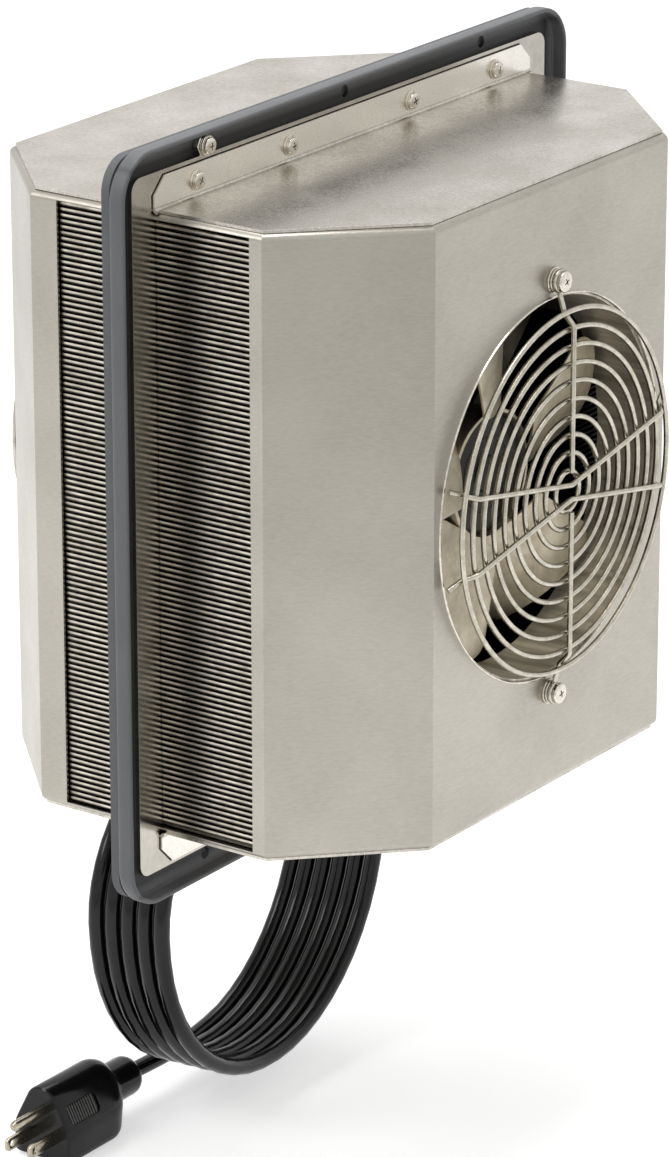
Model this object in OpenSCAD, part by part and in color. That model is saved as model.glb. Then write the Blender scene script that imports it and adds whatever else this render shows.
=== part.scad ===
// Heat exchanger for a sealed cabinet. Two stainless housings stand back to back on a square
// mounting flange, with one folded fin core through both. A fan behind a wire guard blows into
// each housing, and the air leaves through the tall side windows along the fins. The front
// housing faces -Y. The rear one, inside the cabinet, faces +Y and carries the power cord.
// The origin is the middle of the flange, on the face that lies against the cabinet wall.
// Sizes are in millimetres, and +Z is up.

/* [Housings] */
// Width of each housing across its side walls
housing_w = 281.3; // [240:0.1:340]
// Height of each housing over its top and bottom panels
housing_h = 277.2; // [240:0.1:340]
// Depth of the straight side walls
side_d = 55.3; // [52:0.1:80]
// Depth and width of the slanted corners
corner_d = 51; // [35:0.5:52]
// Thickness of the wrapped sheet
sheet_t = 1.2; // [0.8:0.1:2]
// Thickness of the top and bottom panels
panel_t = 1.3; // [0.8:0.1:2]
// Outside radius of the bends along the top and bottom of the wrap
bend_r = 3.2; // [2.2:0.1:5]
// Width of the lips that the wrap turns in under the panels
lip_w = 10; // [6:0.5:16]
// Margin left outside each panel, along the bends
panel_margin = 2.4; // [1:0.1:4]
// Height of the wall left above and below each side window
window_margin = 3.6; // [3.3:0.1:30]
// How far the side windows reach past the fins
window_over = 2.5; // [0.5:0.1:4]

/* [Plates and flange] */
// How far the square front plate stands out past the housings
front_plate_rim = 13.85; // [12:0.05:15]
// How far the square rear plate and the ring behind the flange stand out past the housings
rear_plate_rim = 11.85; // [11:0.05:12.5]
// Thickness of the front and rear plates
plate_t = 2; // [1.5:0.1:3]
// Corner radius of the plates
plate_r = 6; // [3:0.5:12]
// Thickness of the ring between the flange and the rear plate
collar_t = 2.6; // [2:0.1:4]
// Size of the slanted corners of the tabs
tab_cut = 7.5; // [4:0.5:9]
// Inside radius of the bend between a panel and its tab
tab_bend_r = 1; // [0.5:0.1:1.5]
// How far the square mounting flange stands out past the housings
flange_rim = 25.85; // [25:0.05:32]
// Outer corner radius of the mounting flange
flange_r = 20; // [16:0.5:22]
// Thickness of the flange's floor
floor_t = 2; // [1.5:0.1:3]
// Height of the flange's rim over the cabinet wall
rim_h = 8.5; // [6:0.1:12]
// Thickness of the flange's rim
rim_t = 2.2; // [1.6:0.1:3]
// Distance of the mounting holes from the flange's edge
bolt_inset = 7.5; // [7:0.1:9]
// Spacing of the mounting holes along each side
bolt_step = 105.5; // [90:0.5:130]
// Diameter of the mounting holes
bolt_hole_d = 5.4; // [4:0.1:6]
// Thickness of the gasket
gasket_t = 4; // [3:0.5:6]
// Width of the gasket's band
gasket_w = 11; // [8:0.5:11]

/* [Core] */
// Distance from one wall of the folded fin to the next
fin_pitch = 1.27; // [1.27:0.01:2.6]
// Thickness of the fin sheet
fin_t = 0.3; // [0.1:0.05:0.4]
// Gap between the seals of the core and the housings' walls
core_side_gap = 0.95; // [0.3:0.05:10]
// Gap between the fins and the front motor's cross
front_fan_gap = 6.6; // [6:0.1:20]
// Gap between the fins and the rear motor's cross
rear_fan_gap = 14.1; // [12:0.1:25]
// Thickness of the seals on the ends of the fins
seal_t = 2.5; // [1.5:0.1:4]
// Thickness of the plates above and below the fins
end_plate_t = 1.2; // [0.8:0.1:1.2]

/* [Fans] */
// Radius of the round opening in each housing
opening_r = 85; // [75:0.5:86]
// How far the fan's collar stands inside the opening
collar_step = 1; // [0.5:0.1:3]
// Depth of the collar behind the housing's face
collar_d = 29; // [20:0.5:34]
// Gap between the blades' tips and the collar
tip_gap = 6; // [4:0.5:12]
// Number of blades
blade_count = 5; // [3:1:7]
// Thickness of the blade sheet
blade_t = 1.2; // [0.8:0.1:2]
// Tilt of the blades out of the fan's plane, in degrees
blade_pitch = 23; // [15:1:28]
// Outside radius of the motor's turning cup
cup_r = 27.5; // [24:0.5:32]
// Depth of the turning cup
cup_d = 15; // [12:0.5:20]
// Radius of the motor shaft
shaft_r = 4; // [3:0.1:5]
// Running clearance round the motor shaft
shaft_gap = 0.05; // [0.01:0.01:0.1]

/* [Guards] */
// Diameter of the guard wire
wire_d = 2.4; // [1.6:0.1:3]
// Number of rings in each guard
ring_count = 10; // [6:1:10]
// Radius of the innermost ring
ring_r0 = 9; // [8:0.1:12]
// Gap between the outer ring and the edge of the opening
ring_margin = 4.72; // [3:0.01:8]
// Distance of the rings ahead of the housing's face
guard_stand = 7.9; // [6:0.1:12]
// Distance of the guard screws from the edge of the opening
guard_screw_gap = 8; // [6.5:0.1:11]

/* [Cord] */
// Diameter of the power cord
cord_d = 7.8; // [6:0.1:8]
// Radius of the hanging coil, to the middle of the cord
coil_r = 91.5; // [80:0.5:100]
// Height of the coil's flattened upper half above its middle
coil_top = 68; // [55:0.5:68.5]
// Step from one loop to the next
coil_pitch = 8.5; // [8.3:0.05:12]
// Number of loops
coil_turns = 5.25; // [2.25:1:8.25]
// How far the coil is turned about the upright, in degrees
coil_yaw = 4.5; // [0:0.5:8]

/* [Plug] */
// Length of the plug's body without its boss
plug_l = 45; // [38:0.5:55]
// Width of the plug's body
plug_w = 27; // [22:0.5:32]
// Height of the plug's body
plug_h = 37.3; // [32:0.5:42]
// Diameter of the boss that the cord enters
boss_d = 19; // [14:0.5:20]
// Length of the boss
boss_l = 20; // [12:0.5:26]
// Length of the flat blades
blade_l = 17.5; // [15:0.1:18]
// Length of the round ground pin
ground_l = 21; // [18:0.1:22]

/* [Hidden] */
$fn = 72;

// One overrun for every cut, and the clearances that the fits share
over = 1;
seat_gap = 0.3;
fit_gap = 0.05;
touch_gap = 0.02;

// Finishes
steel = [0.78, 0.76, 0.71];
bright_steel = [0.84, 0.83, 0.80];
flange_grey = [0.42, 0.43, 0.45];
black = [0.07, 0.07, 0.07];
foil = [0.80, 0.79, 0.75];
foam_black = [0.15, 0.15, 0.15];
nickel = [0.85, 0.83, 0.78];

// Planes of the stack: the flange's floor, the plates on its two sides and the ring between
front_base = floor_t + plate_t;
rear_base = collar_t + plate_t;
face_y = -(side_d + corner_d);
corner_angle = 45;
lip_z = housing_h / 2 - panel_t;
window_h = housing_h - 2 * window_margin;
bend_steps = 4;

// Square plates round the longer side of the housings
square_w = max(housing_w, housing_h);
front_plate_w = square_w + 2 * front_plate_rim;
rear_plate_w = square_w + 2 * rear_plate_rim;
flange_w = square_w + 2 * flange_rim;
bolt_line = flange_w / 2 - bolt_inset;
tab_h = (rear_plate_w - housing_h) / 2;

// Depth of a fan, from the housing's face to the back of the motor's cross
cup_front = 34.2;
cup_wall = 2;
stator_front_gap = 1;
stator_l = 12.3;
stator_flange_t = 1.7;
bracket_t = 2;
fan_d = cup_front + cup_wall + stator_front_gap + stator_l + stator_flange_t + bracket_t;

// Core: an even number of fin walls fills the height between the end plates
core_w = housing_w - 2 * (sheet_t + core_side_gap + seal_t);
core_front = side_d + corner_d - fan_d - front_fan_gap;
core_rear = side_d + corner_d - fan_d - rear_fan_gap;
core_room = housing_h / 2 - panel_t - sheet_t - seat_gap - end_plate_t;
fin_count = 2 * floor((core_room - fin_t / 2) / fin_pitch + 1 / 2);
fin_z0 = -(fin_count - 1) * fin_pitch / 2;
core_half_h = -fin_z0 + fin_t / 2;
end_plate_z = core_half_h + end_plate_t;
core_opening_w = core_w + 2 * (seal_t + seat_gap);
core_opening_h = 2 * (end_plate_z + seat_gap);
core_y0 = -(front_base + core_front);
core_y1 = rear_base + core_rear;

// Screws of the tabs
tab_screw_shares = [-0.796, -0.3235, 0.3235, 0.796];
tab_screw_xs = tab_screw_shares * housing_w / 2;
tab_screw_rise = tab_h / 2;
tab_screw_z = lip_z + panel_t + tab_screw_rise;
screw_r = 2.05;
screw_hole_r = 2.15;
screw_head_r = 4;
screw_head_h = 2.4;
screw_dome = 0.8;
washer_r = 4.9;
washer_t = 0.8;
tab_screw_l = 5.4;
recess_w = 1.1;
recess_l = 4.4;
recess_d = 1.2;

// Flange section
rim_edge_r = 3;
rim_tip_r = rim_t / 2;
floor_fillet = 0.8;
flange_run = flange_w / 2 - flange_r;
arc_steps = 6;

// Ground screw in one mounting hole
ground_nut_r = 3.1;
ground_nut_h = 3.2;
ground_washer_rs = [4.1, 4.5];
ground_washer_t = 0.8;
ground_washer_gap = 0.35;
ground_head_r = 3.7;
ground_head_h = 2.3;
ground_shank_l = 9;

// Fan
collar_wall = 1.2;
collar_flange_t = 1.5;
collar_flange_r = opening_r + 3 * collar_step;
ear_w = 24;
ear_reach = 7;
cup_edge_r = 2.5;
cup_boss_r = 8;
cup_boss_h = 1.5;
shaft_l = 14;
stator_r = 22;
stator_flange_r = 26.5;
arm_w = 12;
arm_count = 4;
arm_turn = 45;
band_t = 1.6;
band_h = 12;
blade_mid = 29.5;
band_mid = 37;
blade_turn = 15;
blade_camber_r = 75;
blade_root_w = 34;
blade_tip_w = 64;
blade_corner_r = 12;
blade_box = 40;
face_in = face_y + sheet_t;
bracket_front = face_y + fan_d - bracket_t;
collar_r = opening_r - collar_step;
blade_tip_r = collar_r - tip_gap;

// Guard wires
bar_y = face_y - guard_stand - wire_d - touch_gap;
back_y = face_y - guard_stand + wire_d + touch_gap;
outer_ring_r = opening_r - ring_margin;
ring_step = (outer_ring_r - ring_r0) / (ring_count - 1);
guard_screw_r = opening_r + guard_screw_gap;
loop_stand = 3.2;
loop_y = face_y - loop_stand;
loop_r = 4.2;
v_share = 0.213;
v_gap = 3.2;
drop_in = 6.3;
drop_out = 1.1;
tip_out = 3.5;
v_shift = 2.4;
wire_sides = 8;
// A direction close to Y that no part of an upright bar follows
upright_ref = [0, 1, 0.001];
guard_washer_r = 5.75;
guard_head_r = 4.7;
guard_head_h = 3.3;
guard_shank_l = 12;

// Cord route. The gland is behind the core, near the right end of the rear bottom panel.
gland_x = 96;
gland_y = 53.5;
gland_hole_r = 6;
gland_flange_r = 8.6;
gland_body_r = 7.6;
gland_flange_t = 3;
gland_nut_t = 3;
gland_l = 22;
gland_tip_r = 5.2;
gland_rib_count = 5;
gland_groove = 0.7;
gland_lead = 1;
panel_under = -housing_h / 2;
coil_centre = [0, 36, -213];
coil_rings = 24;
coil_sides = 6;
tube_sides = 8;
lead_points = [[96, 53.5, -167], [95.4, 52, -174], [94.2, 49.2, -182], [92.6, 46, -190], [91.6, 44, -198]];
tail_points = [[-20, 79, -304.4], [-30, 78.3, -304.1], [-40, 78, -303.7], [-50, 78, -303.3]];
plug_x = -58;
plug_y = 78;
plug_z = -303;

// Tie round the loops, at the top of the coil
tie_w = 4.6;
tie_t = 1.2;

// Plug
plug_top_r = 8;
plug_low = 18.9;
plug_shoulder = 12;
plug_flat_z = -4;
plug_corner_r = 2.5;
boss_round = 2;
shoulder_steps = 6;
edge_steps = 3;
top_steps = 9;
top_a0 = 20;
pin_z = 6;
pin_r = 2.4;
blade_z = -7;
blade_y = 6.35;
blade_h = 6.35;
blade_thick = 1.5;
blade_hole_r = 1.6;
blade_hole_back = 4;
blade_tip_cut = 1.5;
grip_count = 8;
grip_step = 2.6;
grip_w = 1.2;
grip_h = 9;
grip_d = 0.7;
grip_z = -9;
grip_start = 17;

// Terminal block beside the gland, on the rear bottom panel
block_size = [34, 16, 9];
block_x = 60;
block_y = 66;
block_rib_t = 1.6;
block_rib_h = 6;
block_hole_share = 0.42;

// Placing

// Moves a shape from the front plate's face, where housings are drawn, to its place
module front_side() translate([0, -front_base, 0]) children();

// Mirrors the same shape to the rear plate's face
module rear_side() translate([0, rear_base, 0]) mirror([0, 1, 0]) children();

// A round bar along Y between two places
module bar_y(r, from, to) translate([0, from, 0]) rotate([-90, 0, 0]) cylinder(r = r, h = to - from);

// Turns an outline of radius and y about the Y axis
module turned_y() rotate([-90, 0, 0]) rotate_extrude() children();

// Gives an outline of x and z a thickness along Y
module slab_y(from, to) translate([0, to, 0]) rotate([90, 0, 0]) linear_extrude(to - from) children();

// Gives an outline of y and z a width along X, about the middle
module along_x(w) translate([-w / 2, 0, 0]) rotate([90, 0, 90]) linear_extrude(w) children();

// Outlines

function unit(v) = v / norm(v);

// Points on an arc
function arc(centre, r, a0, a1, steps) =
    [for (i = [0:steps]) let (a = a0 + (a1 - a0) * i / steps) centre + r * [cos(a), sin(a)]];

// The six corners of a housing's plan, set in from its outer face
function plan(inset) =
    let (w = housing_w / 2, k = inset * tan(corner_angle / 2))
    [[-w + inset, 0], [-w + inset, -side_d + k], [-w + corner_d + k, face_y + inset],
     [w - corner_d - k, face_y + inset], [w - inset, -side_d + k], [w - inset, 0]];

module rounded_square(w, r) {
    square([w, w - 2 * r], center = true);
    square([w - 2 * r, w], center = true);
    for (x = [-1, 1], z = [-1, 1]) translate([x, z] * (w / 2 - r)) circle(r);
}

// Lofts: rings of points joined by triangles. Each flat end is a strip of four-sided pieces
// between the two halves of its ring, so a ring may be the section of a bent sheet.

function loft_faces(n, rings) = let (last = (rings - 1) * n) concat(
    [for (j = [0:n / 2 - 2]) [j, j + 1, n - 2 - j, n - 1 - j]],
    [for (i = [0:rings - 2], j = [0:n - 1], half = [0, 1])
        let (a = i * n + j, b = i * n + (j + 1) % n)
        half == 0 ? [a, a + n, b + n] : [a, b + n, b]],
    [for (j = [0:n / 2 - 2]) [last + n - 1 - j, last + n - 2 - j, last + j + 1, last + j]]);

module loft(rings) polyhedron([for (ring = rings) each ring], loft_faces(len(rings[0]), len(rings)));

// A round ring of points square to a direction
function ring_at(p, dir, ref, r, n) =
    let (u = unit(cross(dir, ref)), v = cross(dir, u))
    [for (j = [0:n - 1]) p + r * (cos(360 * j / n) * u + sin(360 * j / n) * v)];

// The direction of a path at one of its points
function heading(path, i) = unit(path[min(i + 1, len(path) - 1)] - path[max(i - 1, 0)]);

// A round wire or cord along a path. Its ends are square to the directions given.
module wire(path, r, n, ref, start_dir, end_dir)
    loft([for (i = [0:len(path) - 1])
        ring_at(path[i], i == 0 ? start_dir : i == len(path) - 1 ? end_dir : heading(path, i), ref, r, n)]);

// Fasteners

// A cross recess for a head whose top is at y = 0, facing -Y
module cross_recess() for (turn = [0, 90]) rotate([0, turn, 0])
    translate([-recess_l / 2, -over, -recess_w / 2]) cube([recess_l, recess_d + over, recess_w]);

// A pan head screw that faces -Y, with its seat at y = 0
module pan_screw(head_r, head_h, length) difference() {
    turned_y() polygon(concat([[0, -head_h], [head_r - screw_dome, -head_h]],
        arc([head_r - screw_dome, -head_h + screw_dome], screw_dome, -90, 0, bend_steps),
        [[head_r, 0], [screw_r, 0], [screw_r, length], [0, length]]));
    translate([0, -head_h, 0]) cross_recess();
}

module washer(r, t) difference() {
    bar_y(r, -t, 0);
    bar_y(screw_hole_r, -t - over, over);
}

// Housings, drawn ahead of y = 0

// Upper half of a line through the wrapped sheet, at a depth below its outer face
function wrap_half(depth) = concat(
    arc([bend_r, lip_z - bend_r], bend_r - depth, 180, 90, bend_steps), [[lip_w, lip_z - depth]]);

// Section of the wrapped sheet: up its outer face and down its inner one
function wrap_section() = let (outer = wrap_half(0), inner = wrap_half(sheet_t), last = len(outer) - 1)
    concat([for (i = [last:-1:0]) [outer[i][0], -outer[i][1]]], outer,
        [for (i = [last:-1:0]) inner[i]], [for (p = inner) [p[0], -p[1]]]);

module shroud(window_d) color(steel) difference() {
    loft([for (s = [5:-1:0]) [for (p = wrap_section()) let (q = plan(p[0])[s]) [q[0], q[1], p[1]]]]);
    translate([-housing_w / 2 - over, -window_d, -window_h / 2])
        cube([housing_w + 2 * over, window_d + over, window_h]);
    bar_y(opening_r, face_y - over, face_in + over);
    for (side = [-1, 1]) translate([0, 0, side * guard_screw_r])
        bar_y(screw_hole_r, face_y - over, face_in + over);
}

// Plan of a panel with its tab, which is as wide as the housing
function panel_plan() = let (p = plan(panel_margin), root = -panel_t - tab_bend_r, w = housing_w / 2)
    [[-w, 0], [-w, root], [p[0][0], root], p[1], p[2], p[3], p[4], [p[5][0], root], [w, root], [w, 0]];

// Section of the top panel: flat over the housing, then bent up against the plate
function panel_section() = let (b = tab_bend_r + panel_t, z = lip_z)
    concat([[face_y, z]], arc([-b, z + b], b, -90, 0, bend_steps), [[0, z + panel_t + tab_h],
        [-panel_t, z + panel_t + tab_h]],
        arc([-b, z + b], tab_bend_r, 0, -90, bend_steps), [[face_y, z + panel_t]]);

module panel() color(steel) difference() {
    intersection() {
        along_x(housing_w) polygon(panel_section());
        translate([0, 0, lip_z - over]) linear_extrude(panel_t + tab_h + 2 * over) polygon(panel_plan());
    }
    for (side = [-1, 1]) translate([side * housing_w / 2, 0, lip_z + panel_t + tab_h])
        slab_y(-panel_t - over, over) rotate(corner_angle) square(tab_cut * sqrt(2), center = true);
    for (x = tab_screw_xs) translate([x, 0, tab_screw_z]) bar_y(screw_hole_r, -panel_t - over, over);
}

module front_shroud() front_side() shroud(core_front + window_over);
module rear_shroud() rear_side() shroud(core_rear + window_over);
module front_top_panel() front_side() panel();
module front_bottom_panel() front_side() mirror([0, 0, 1]) panel();
module rear_top_panel() rear_side() panel();
module rear_bottom_panel() color(steel) difference() {
    rear_side() mirror([0, 0, 1]) panel();
    translate([gland_x, gland_y, panel_under - over]) cylinder(r = gland_hole_r, h = panel_t + 2 * over);
}

// Plates and flange

module core_opening() square([core_opening_w, core_opening_h], center = true);
module tab_screw_holes() for (x = tab_screw_xs, side = [-1, 1])
    translate([x, side * tab_screw_z]) circle(screw_hole_r);

module plate(w, t) slab_y(-t, 0) difference() {
    rounded_square(w, plate_r);
    core_opening();
    tab_screw_holes();
}

module front_plate() color(bright_steel) translate([0, -floor_t, 0]) plate(front_plate_w, plate_t);
module rear_plate() color(bright_steel) translate([0, rear_base, 0]) plate(rear_plate_w, plate_t);
module core_collar() color(steel) translate([0, collar_t, 0]) plate(rear_plate_w, collar_t);

// The twelve mounting holes, three along each side
bolt_places = [for (side = [-1, 1], i = [-1:1], turn = [0, 1])
    turn == 0 ? [side * bolt_line, i * bolt_step] : [i * bolt_step, side * bolt_line]];

// Section of the rim and the floor's edge: distance outwards from the corner's centre, and y
function flange_section() = concat(
    [[0, -floor_t], [flange_r - rim_t - floor_fillet, -floor_t]],
    arc([flange_r - rim_t - floor_fillet, -floor_t - floor_fillet], floor_fillet, 90, 0, bend_steps),
    arc([flange_r - rim_tip_r, -rim_h + rim_tip_r], rim_tip_r, 180, 360, arc_steps),
    arc([flange_r - rim_edge_r, -rim_edge_r], rim_edge_r, 0, 90, arc_steps),
    [[0, 0]]);

module flange_frame() color(flange_grey) difference() {
    union() {
        for (turn = [0:3]) rotate([0, 90 * turn, 0]) translate([flange_run, 0, -flange_run]) {
            linear_extrude(2 * flange_run) polygon(flange_section());
            rotate([-90, 0, 0]) rotate_extrude(angle = 90) polygon(flange_section());
        }
        slab_y(-floor_t, 0) square(2 * flange_run, center = true);
    }
    slab_y(-floor_t - over, over) {
        core_opening();
        tab_screw_holes();
    }
    for (b = bolt_places) translate([b[0], 0, b[1]]) bar_y(bolt_hole_d / 2, -floor_t - over, over);
}

module gasket() color(foam_black) slab_y(0, gasket_t) difference() {
    rounded_square(2 * (bolt_line + gasket_w / 2), flange_r - gasket_w / 2);
    square(2 * (bolt_line - gasket_w / 2), center = true);
    for (b = bolt_places) translate(b) circle(bolt_hole_d / 2 + seat_gap);
}

// Core

function fin_z(k) = fin_z0 + k * fin_pitch;

// One side of the folded sheet, walked from wall to wall. It turns at the rear after an even
// wall and at the front after an odd one.
function fin_side(side) = [for (k = [0:fin_count - 1], leg = [0, 1])
    let (rearward = k % 2 == 0, z = fin_z(k) - (rearward ? 1 : -1) * side * fin_t / 2,
         at_rear = rearward == (leg == 1))
    [at_rear ? core_y1 - fin_t / 2 + side * fin_t / 2 : core_y0 + fin_t / 2 + side * fin_t / 2, z]];

module fin_core() color(foil) along_x(core_w)
    polygon(concat(fin_side(1), [for (i = [2 * fin_count - 1:-1:0]) fin_side(-1)[i]]));

module core_end_plates() color(bright_steel) for (side = [0, 1]) mirror([0, 0, side])
    translate([-core_w / 2, core_y0, core_half_h]) cube([core_w, core_y1 - core_y0, end_plate_t]);

// The teeth of an end seal close every other gap: ahead of the flange those that open to the
// rear, and behind it those that open to the front.
function seal_teeth(first, y_root, y_tip) = [for (k = [first:2:fin_count - 2], corner = [0:3])
    [corner == 0 || corner == 3 ? y_root : y_tip,
     corner < 2 ? fin_z(k) - fin_t / 2 : fin_z(k + 1) + fin_t / 2]];

module core_seal() color(bright_steel) translate([(core_w + seal_t) / 2, 0, 0]) along_x(seal_t)
    polygon(concat([[-front_base, -end_plate_z]], seal_teeth(1, -front_base, core_y0),
        [[-front_base, end_plate_z], [rear_base, end_plate_z]],
        [for (i = [2 * fin_count - 1:-1:0]) seal_teeth(0, rear_base, core_y1)[i]],
        [[rear_base, -end_plate_z]]));

module core_seal_right() core_seal();
module core_seal_left() mirror([1, 0, 0]) core_seal();

// Screws of the tabs

module tab_screws() color(bright_steel) for (x = tab_screw_xs, side = [-1, 1])
    translate([x, -panel_t, side * tab_screw_z]) {
        washer(washer_r, washer_t);
        translate([0, -washer_t, 0]) pan_screw(screw_head_r, screw_head_h, tab_screw_l + washer_t);
    }

module front_tab_screws() front_side() tab_screws();
module rear_tab_screws() rear_side() tab_screws();

// Guards

// A ring of wire round Y
module wire_ring(r) turned_y() translate([r, 0]) circle(wire_d / 2);

// The way of a bar from the middle outwards: ahead of the rings, then back between the last two,
// and on behind the outer ring. It gives distances along the bar and y. A slanted bar drops
// sooner, by a shift, because it meets the rings at a slant.
function bar_way(start, shift, tip, tip_y) = [[start, bar_y], [outer_ring_r - drop_in - shift, bar_y],
    [outer_ring_r - drop_out - shift, back_y], [tip, tip_y]];

// A slanted bar: its two arms rise to the sides from a point near the middle
function v_arm(side) = [for (q = bar_way(0, v_shift, outer_ring_r + tip_out, loop_y))
    [side * q[0], q[1], v_gap + q[0] * v_share * q[0] / outer_ring_r]];
function v_path() = concat([for (i = [3:-1:1]) v_arm(-1)[i]], v_arm(1));

// An upright bar, which ends in an eye round its screw
function upright_path() = concat(
    [for (q = bar_way(ring_r0, 0, guard_screw_r - loop_r - wire_d, loop_y)) [0, q[1], q[0]]],
    [for (a = [-60:30:210]) [-loop_r * sin(a + 60), loop_y, guard_screw_r - loop_r * cos(a + 60)]]);

module guard_rings() color(bright_steel) for (i = [0:ring_count - 1])
    translate([0, face_y - guard_stand, 0]) wire_ring(ring_r0 + i * ring_step);

module guard_bars() color(bright_steel) for (side = [0, 1]) mirror([0, 0, side]) {
    wire(v_path(), wire_d / 2, wire_sides, [0, 0, 1], [1, 0, 0], [1, 0, 0]);
    wire(upright_path(), wire_d / 2, wire_sides, upright_ref, [0, 0, 1], [-1, 0, 0]);
}

module guard_screws() color(bright_steel) for (side = [-1, 1]) translate([0, 0, side * guard_screw_r]) {
    translate([0, face_y, 0]) washer(guard_washer_r, -loop_y + face_y - wire_d / 2);
    translate([0, loop_y - wire_d / 2, 0]) pan_screw(guard_head_r, guard_head_h, guard_shank_l);
}

module front_guard_rings() front_side() guard_rings();
module front_guard_bars() front_side() guard_bars();
module rear_guard_rings() rear_side() guard_rings();
module rear_guard_bars() rear_side() guard_bars();
module front_guard_screws() front_side() guard_screws();
module rear_guard_screws() rear_side() guard_screws();

// Fans, drawn round the Y axis behind the housing's face

module fan_collar() color(bright_steel) difference() {
    union() {
        slab_y(face_in, face_in + collar_flange_t) {
            circle(collar_flange_r);
            square([ear_w, 2 * (guard_screw_r + ear_reach)], center = true);
        }
        bar_y(collar_r + collar_wall, face_in, face_in + collar_d);
    }
    bar_y(collar_r, face_in - over, face_in + collar_d + over);
    for (side = [-1, 1]) translate([0, 0, side * guard_screw_r])
        bar_y(screw_hole_r, face_in - over, face_in + collar_flange_t + over);
}

// The motor's cross: a plate behind the blades, with arms that turn forward outside the collar
module motor_bracket() color(steel) difference() {
    union() {
        slab_y(bracket_front, bracket_front + bracket_t) circle(stator_flange_r);
        for (i = [0:arm_count - 1]) rotate([0, arm_turn + 360 * i / arm_count, 0]) {
            translate([0, bracket_front, -arm_w / 2])
                cube([collar_r + collar_wall + fit_gap + bracket_t, bracket_t, arm_w]);
            translate([collar_r + collar_wall + fit_gap, face_in + collar_flange_t, -arm_w / 2])
                cube([bracket_t, bracket_front - face_in - collar_flange_t, arm_w]);
        }
    }
    bar_y(shaft_r + over, bracket_front - over, bracket_front + bracket_t + over);
}

module stator() color(steel) turned_y() polygon([
    [shaft_r + shaft_gap, bracket_front - stator_flange_t - stator_l],
    [stator_r, bracket_front - stator_flange_t - stator_l],
    [stator_r, bracket_front - stator_flange_t], [stator_flange_r, bracket_front - stator_flange_t],
    [stator_flange_r, bracket_front], [shaft_r + shaft_gap, bracket_front]]);

module rotor_cup() color(black) turned_y() translate([0, face_y + cup_front]) polygon(concat(
    [[0, -cup_boss_h], [cup_boss_r, -cup_boss_h], [cup_boss_r, 0], [cup_r - cup_edge_r, 0]],
    arc([cup_r - cup_edge_r, cup_edge_r], cup_edge_r, -90, 0, bend_steps),
    [[cup_r, cup_d], [cup_r - cup_wall, cup_d], [cup_r - cup_wall, cup_wall],
     [shaft_r, cup_wall], [shaft_r, cup_wall + shaft_l], [0, cup_wall + shaft_l]]));

// Outline of a blade: distance from the axis, and place across the blade
module blade_outline() let (root = cup_r + fit_gap + band_t / 2, r = blade_corner_r) hull() {
    translate([root, -blade_root_w / 2]) square([fit_gap, blade_root_w]);
    for (side = [-1, 1]) translate([blade_tip_r - r, side * (blade_tip_w / 2 - r)]) circle(r);
}

module blade() rotate([blade_pitch, 0, 0]) intersection() {
    translate([0, blade_box / 2, 0]) rotate([90, 0, 0]) linear_extrude(blade_box) blade_outline();
    translate([0, blade_camber_r, 0]) rotate([0, 90, 0]) difference() {
        cylinder(r = blade_camber_r + blade_t / 2, h = blade_tip_r);
        translate([0, 0, -over]) cylinder(r = blade_camber_r - blade_t / 2, h = blade_tip_r + 2 * over);
    }
}

module fan_blades() color(bright_steel) difference() {
    union() {
        bar_y(cup_r + fit_gap + band_t, face_y + band_mid - band_h / 2, face_y + band_mid + band_h / 2);
        for (i = [0:blade_count - 1]) rotate([0, -blade_turn - 360 * i / blade_count, 0])
            translate([0, face_y + blade_mid, 0]) blade();
    }
    bar_y(cup_r + fit_gap, face_y, bracket_front);
}

module front_fan_collar() front_side() fan_collar();
module rear_fan_collar() rear_side() fan_collar();
module front_motor_bracket() front_side() motor_bracket();
module rear_motor_bracket() rear_side() motor_bracket();
module front_stator() front_side() stator();
module rear_stator() rear_side() stator();
module front_rotor_cup() front_side() rotor_cup();
module rear_rotor_cup() rear_side() rotor_cup();
module front_fan_blades() front_side() fan_blades();
module rear_fan_blades() rear_side() fan_blades();

// The ground screw fills the left one of the upper mounting holes
module ground_screw() color(nickel) translate([-bolt_step, -floor_t, bolt_line]) {
    turned_y() translate([0, -ground_nut_h]) polygon([[screw_hole_r, 0], [ground_nut_r, 0],
        [ground_nut_r, ground_nut_h], [screw_hole_r, ground_nut_h]]);
    for (i = [0, 1]) translate([0, -ground_nut_h - i * (ground_washer_t + ground_washer_gap), 0])
        washer(ground_washer_rs[i], ground_washer_t);
    translate([0, -ground_nut_h - 2 * ground_washer_t - ground_washer_gap, 0])
        pan_screw(ground_head_r, ground_head_h, ground_shank_l);
}

// Terminal block inside the rear housing
module terminal_block() color(black) translate([block_x, block_y, -lip_z]) {
    difference() {
        translate([0, 0, block_size[2] / 2]) cube(block_size, center = true);
        for (i = [-1, 1]) translate([i * block_size[0] * block_hole_share, 0, -over])
            cylinder(r = screw_hole_r, h = block_size[2] + 2 * over);
    }
    for (i = [-2:2]) translate([i * block_size[0] / 6, 0, block_size[2] + block_rib_h / 2])
        cube([block_rib_t, block_size[1], block_rib_h], center = true);
}

// Cord

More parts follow.
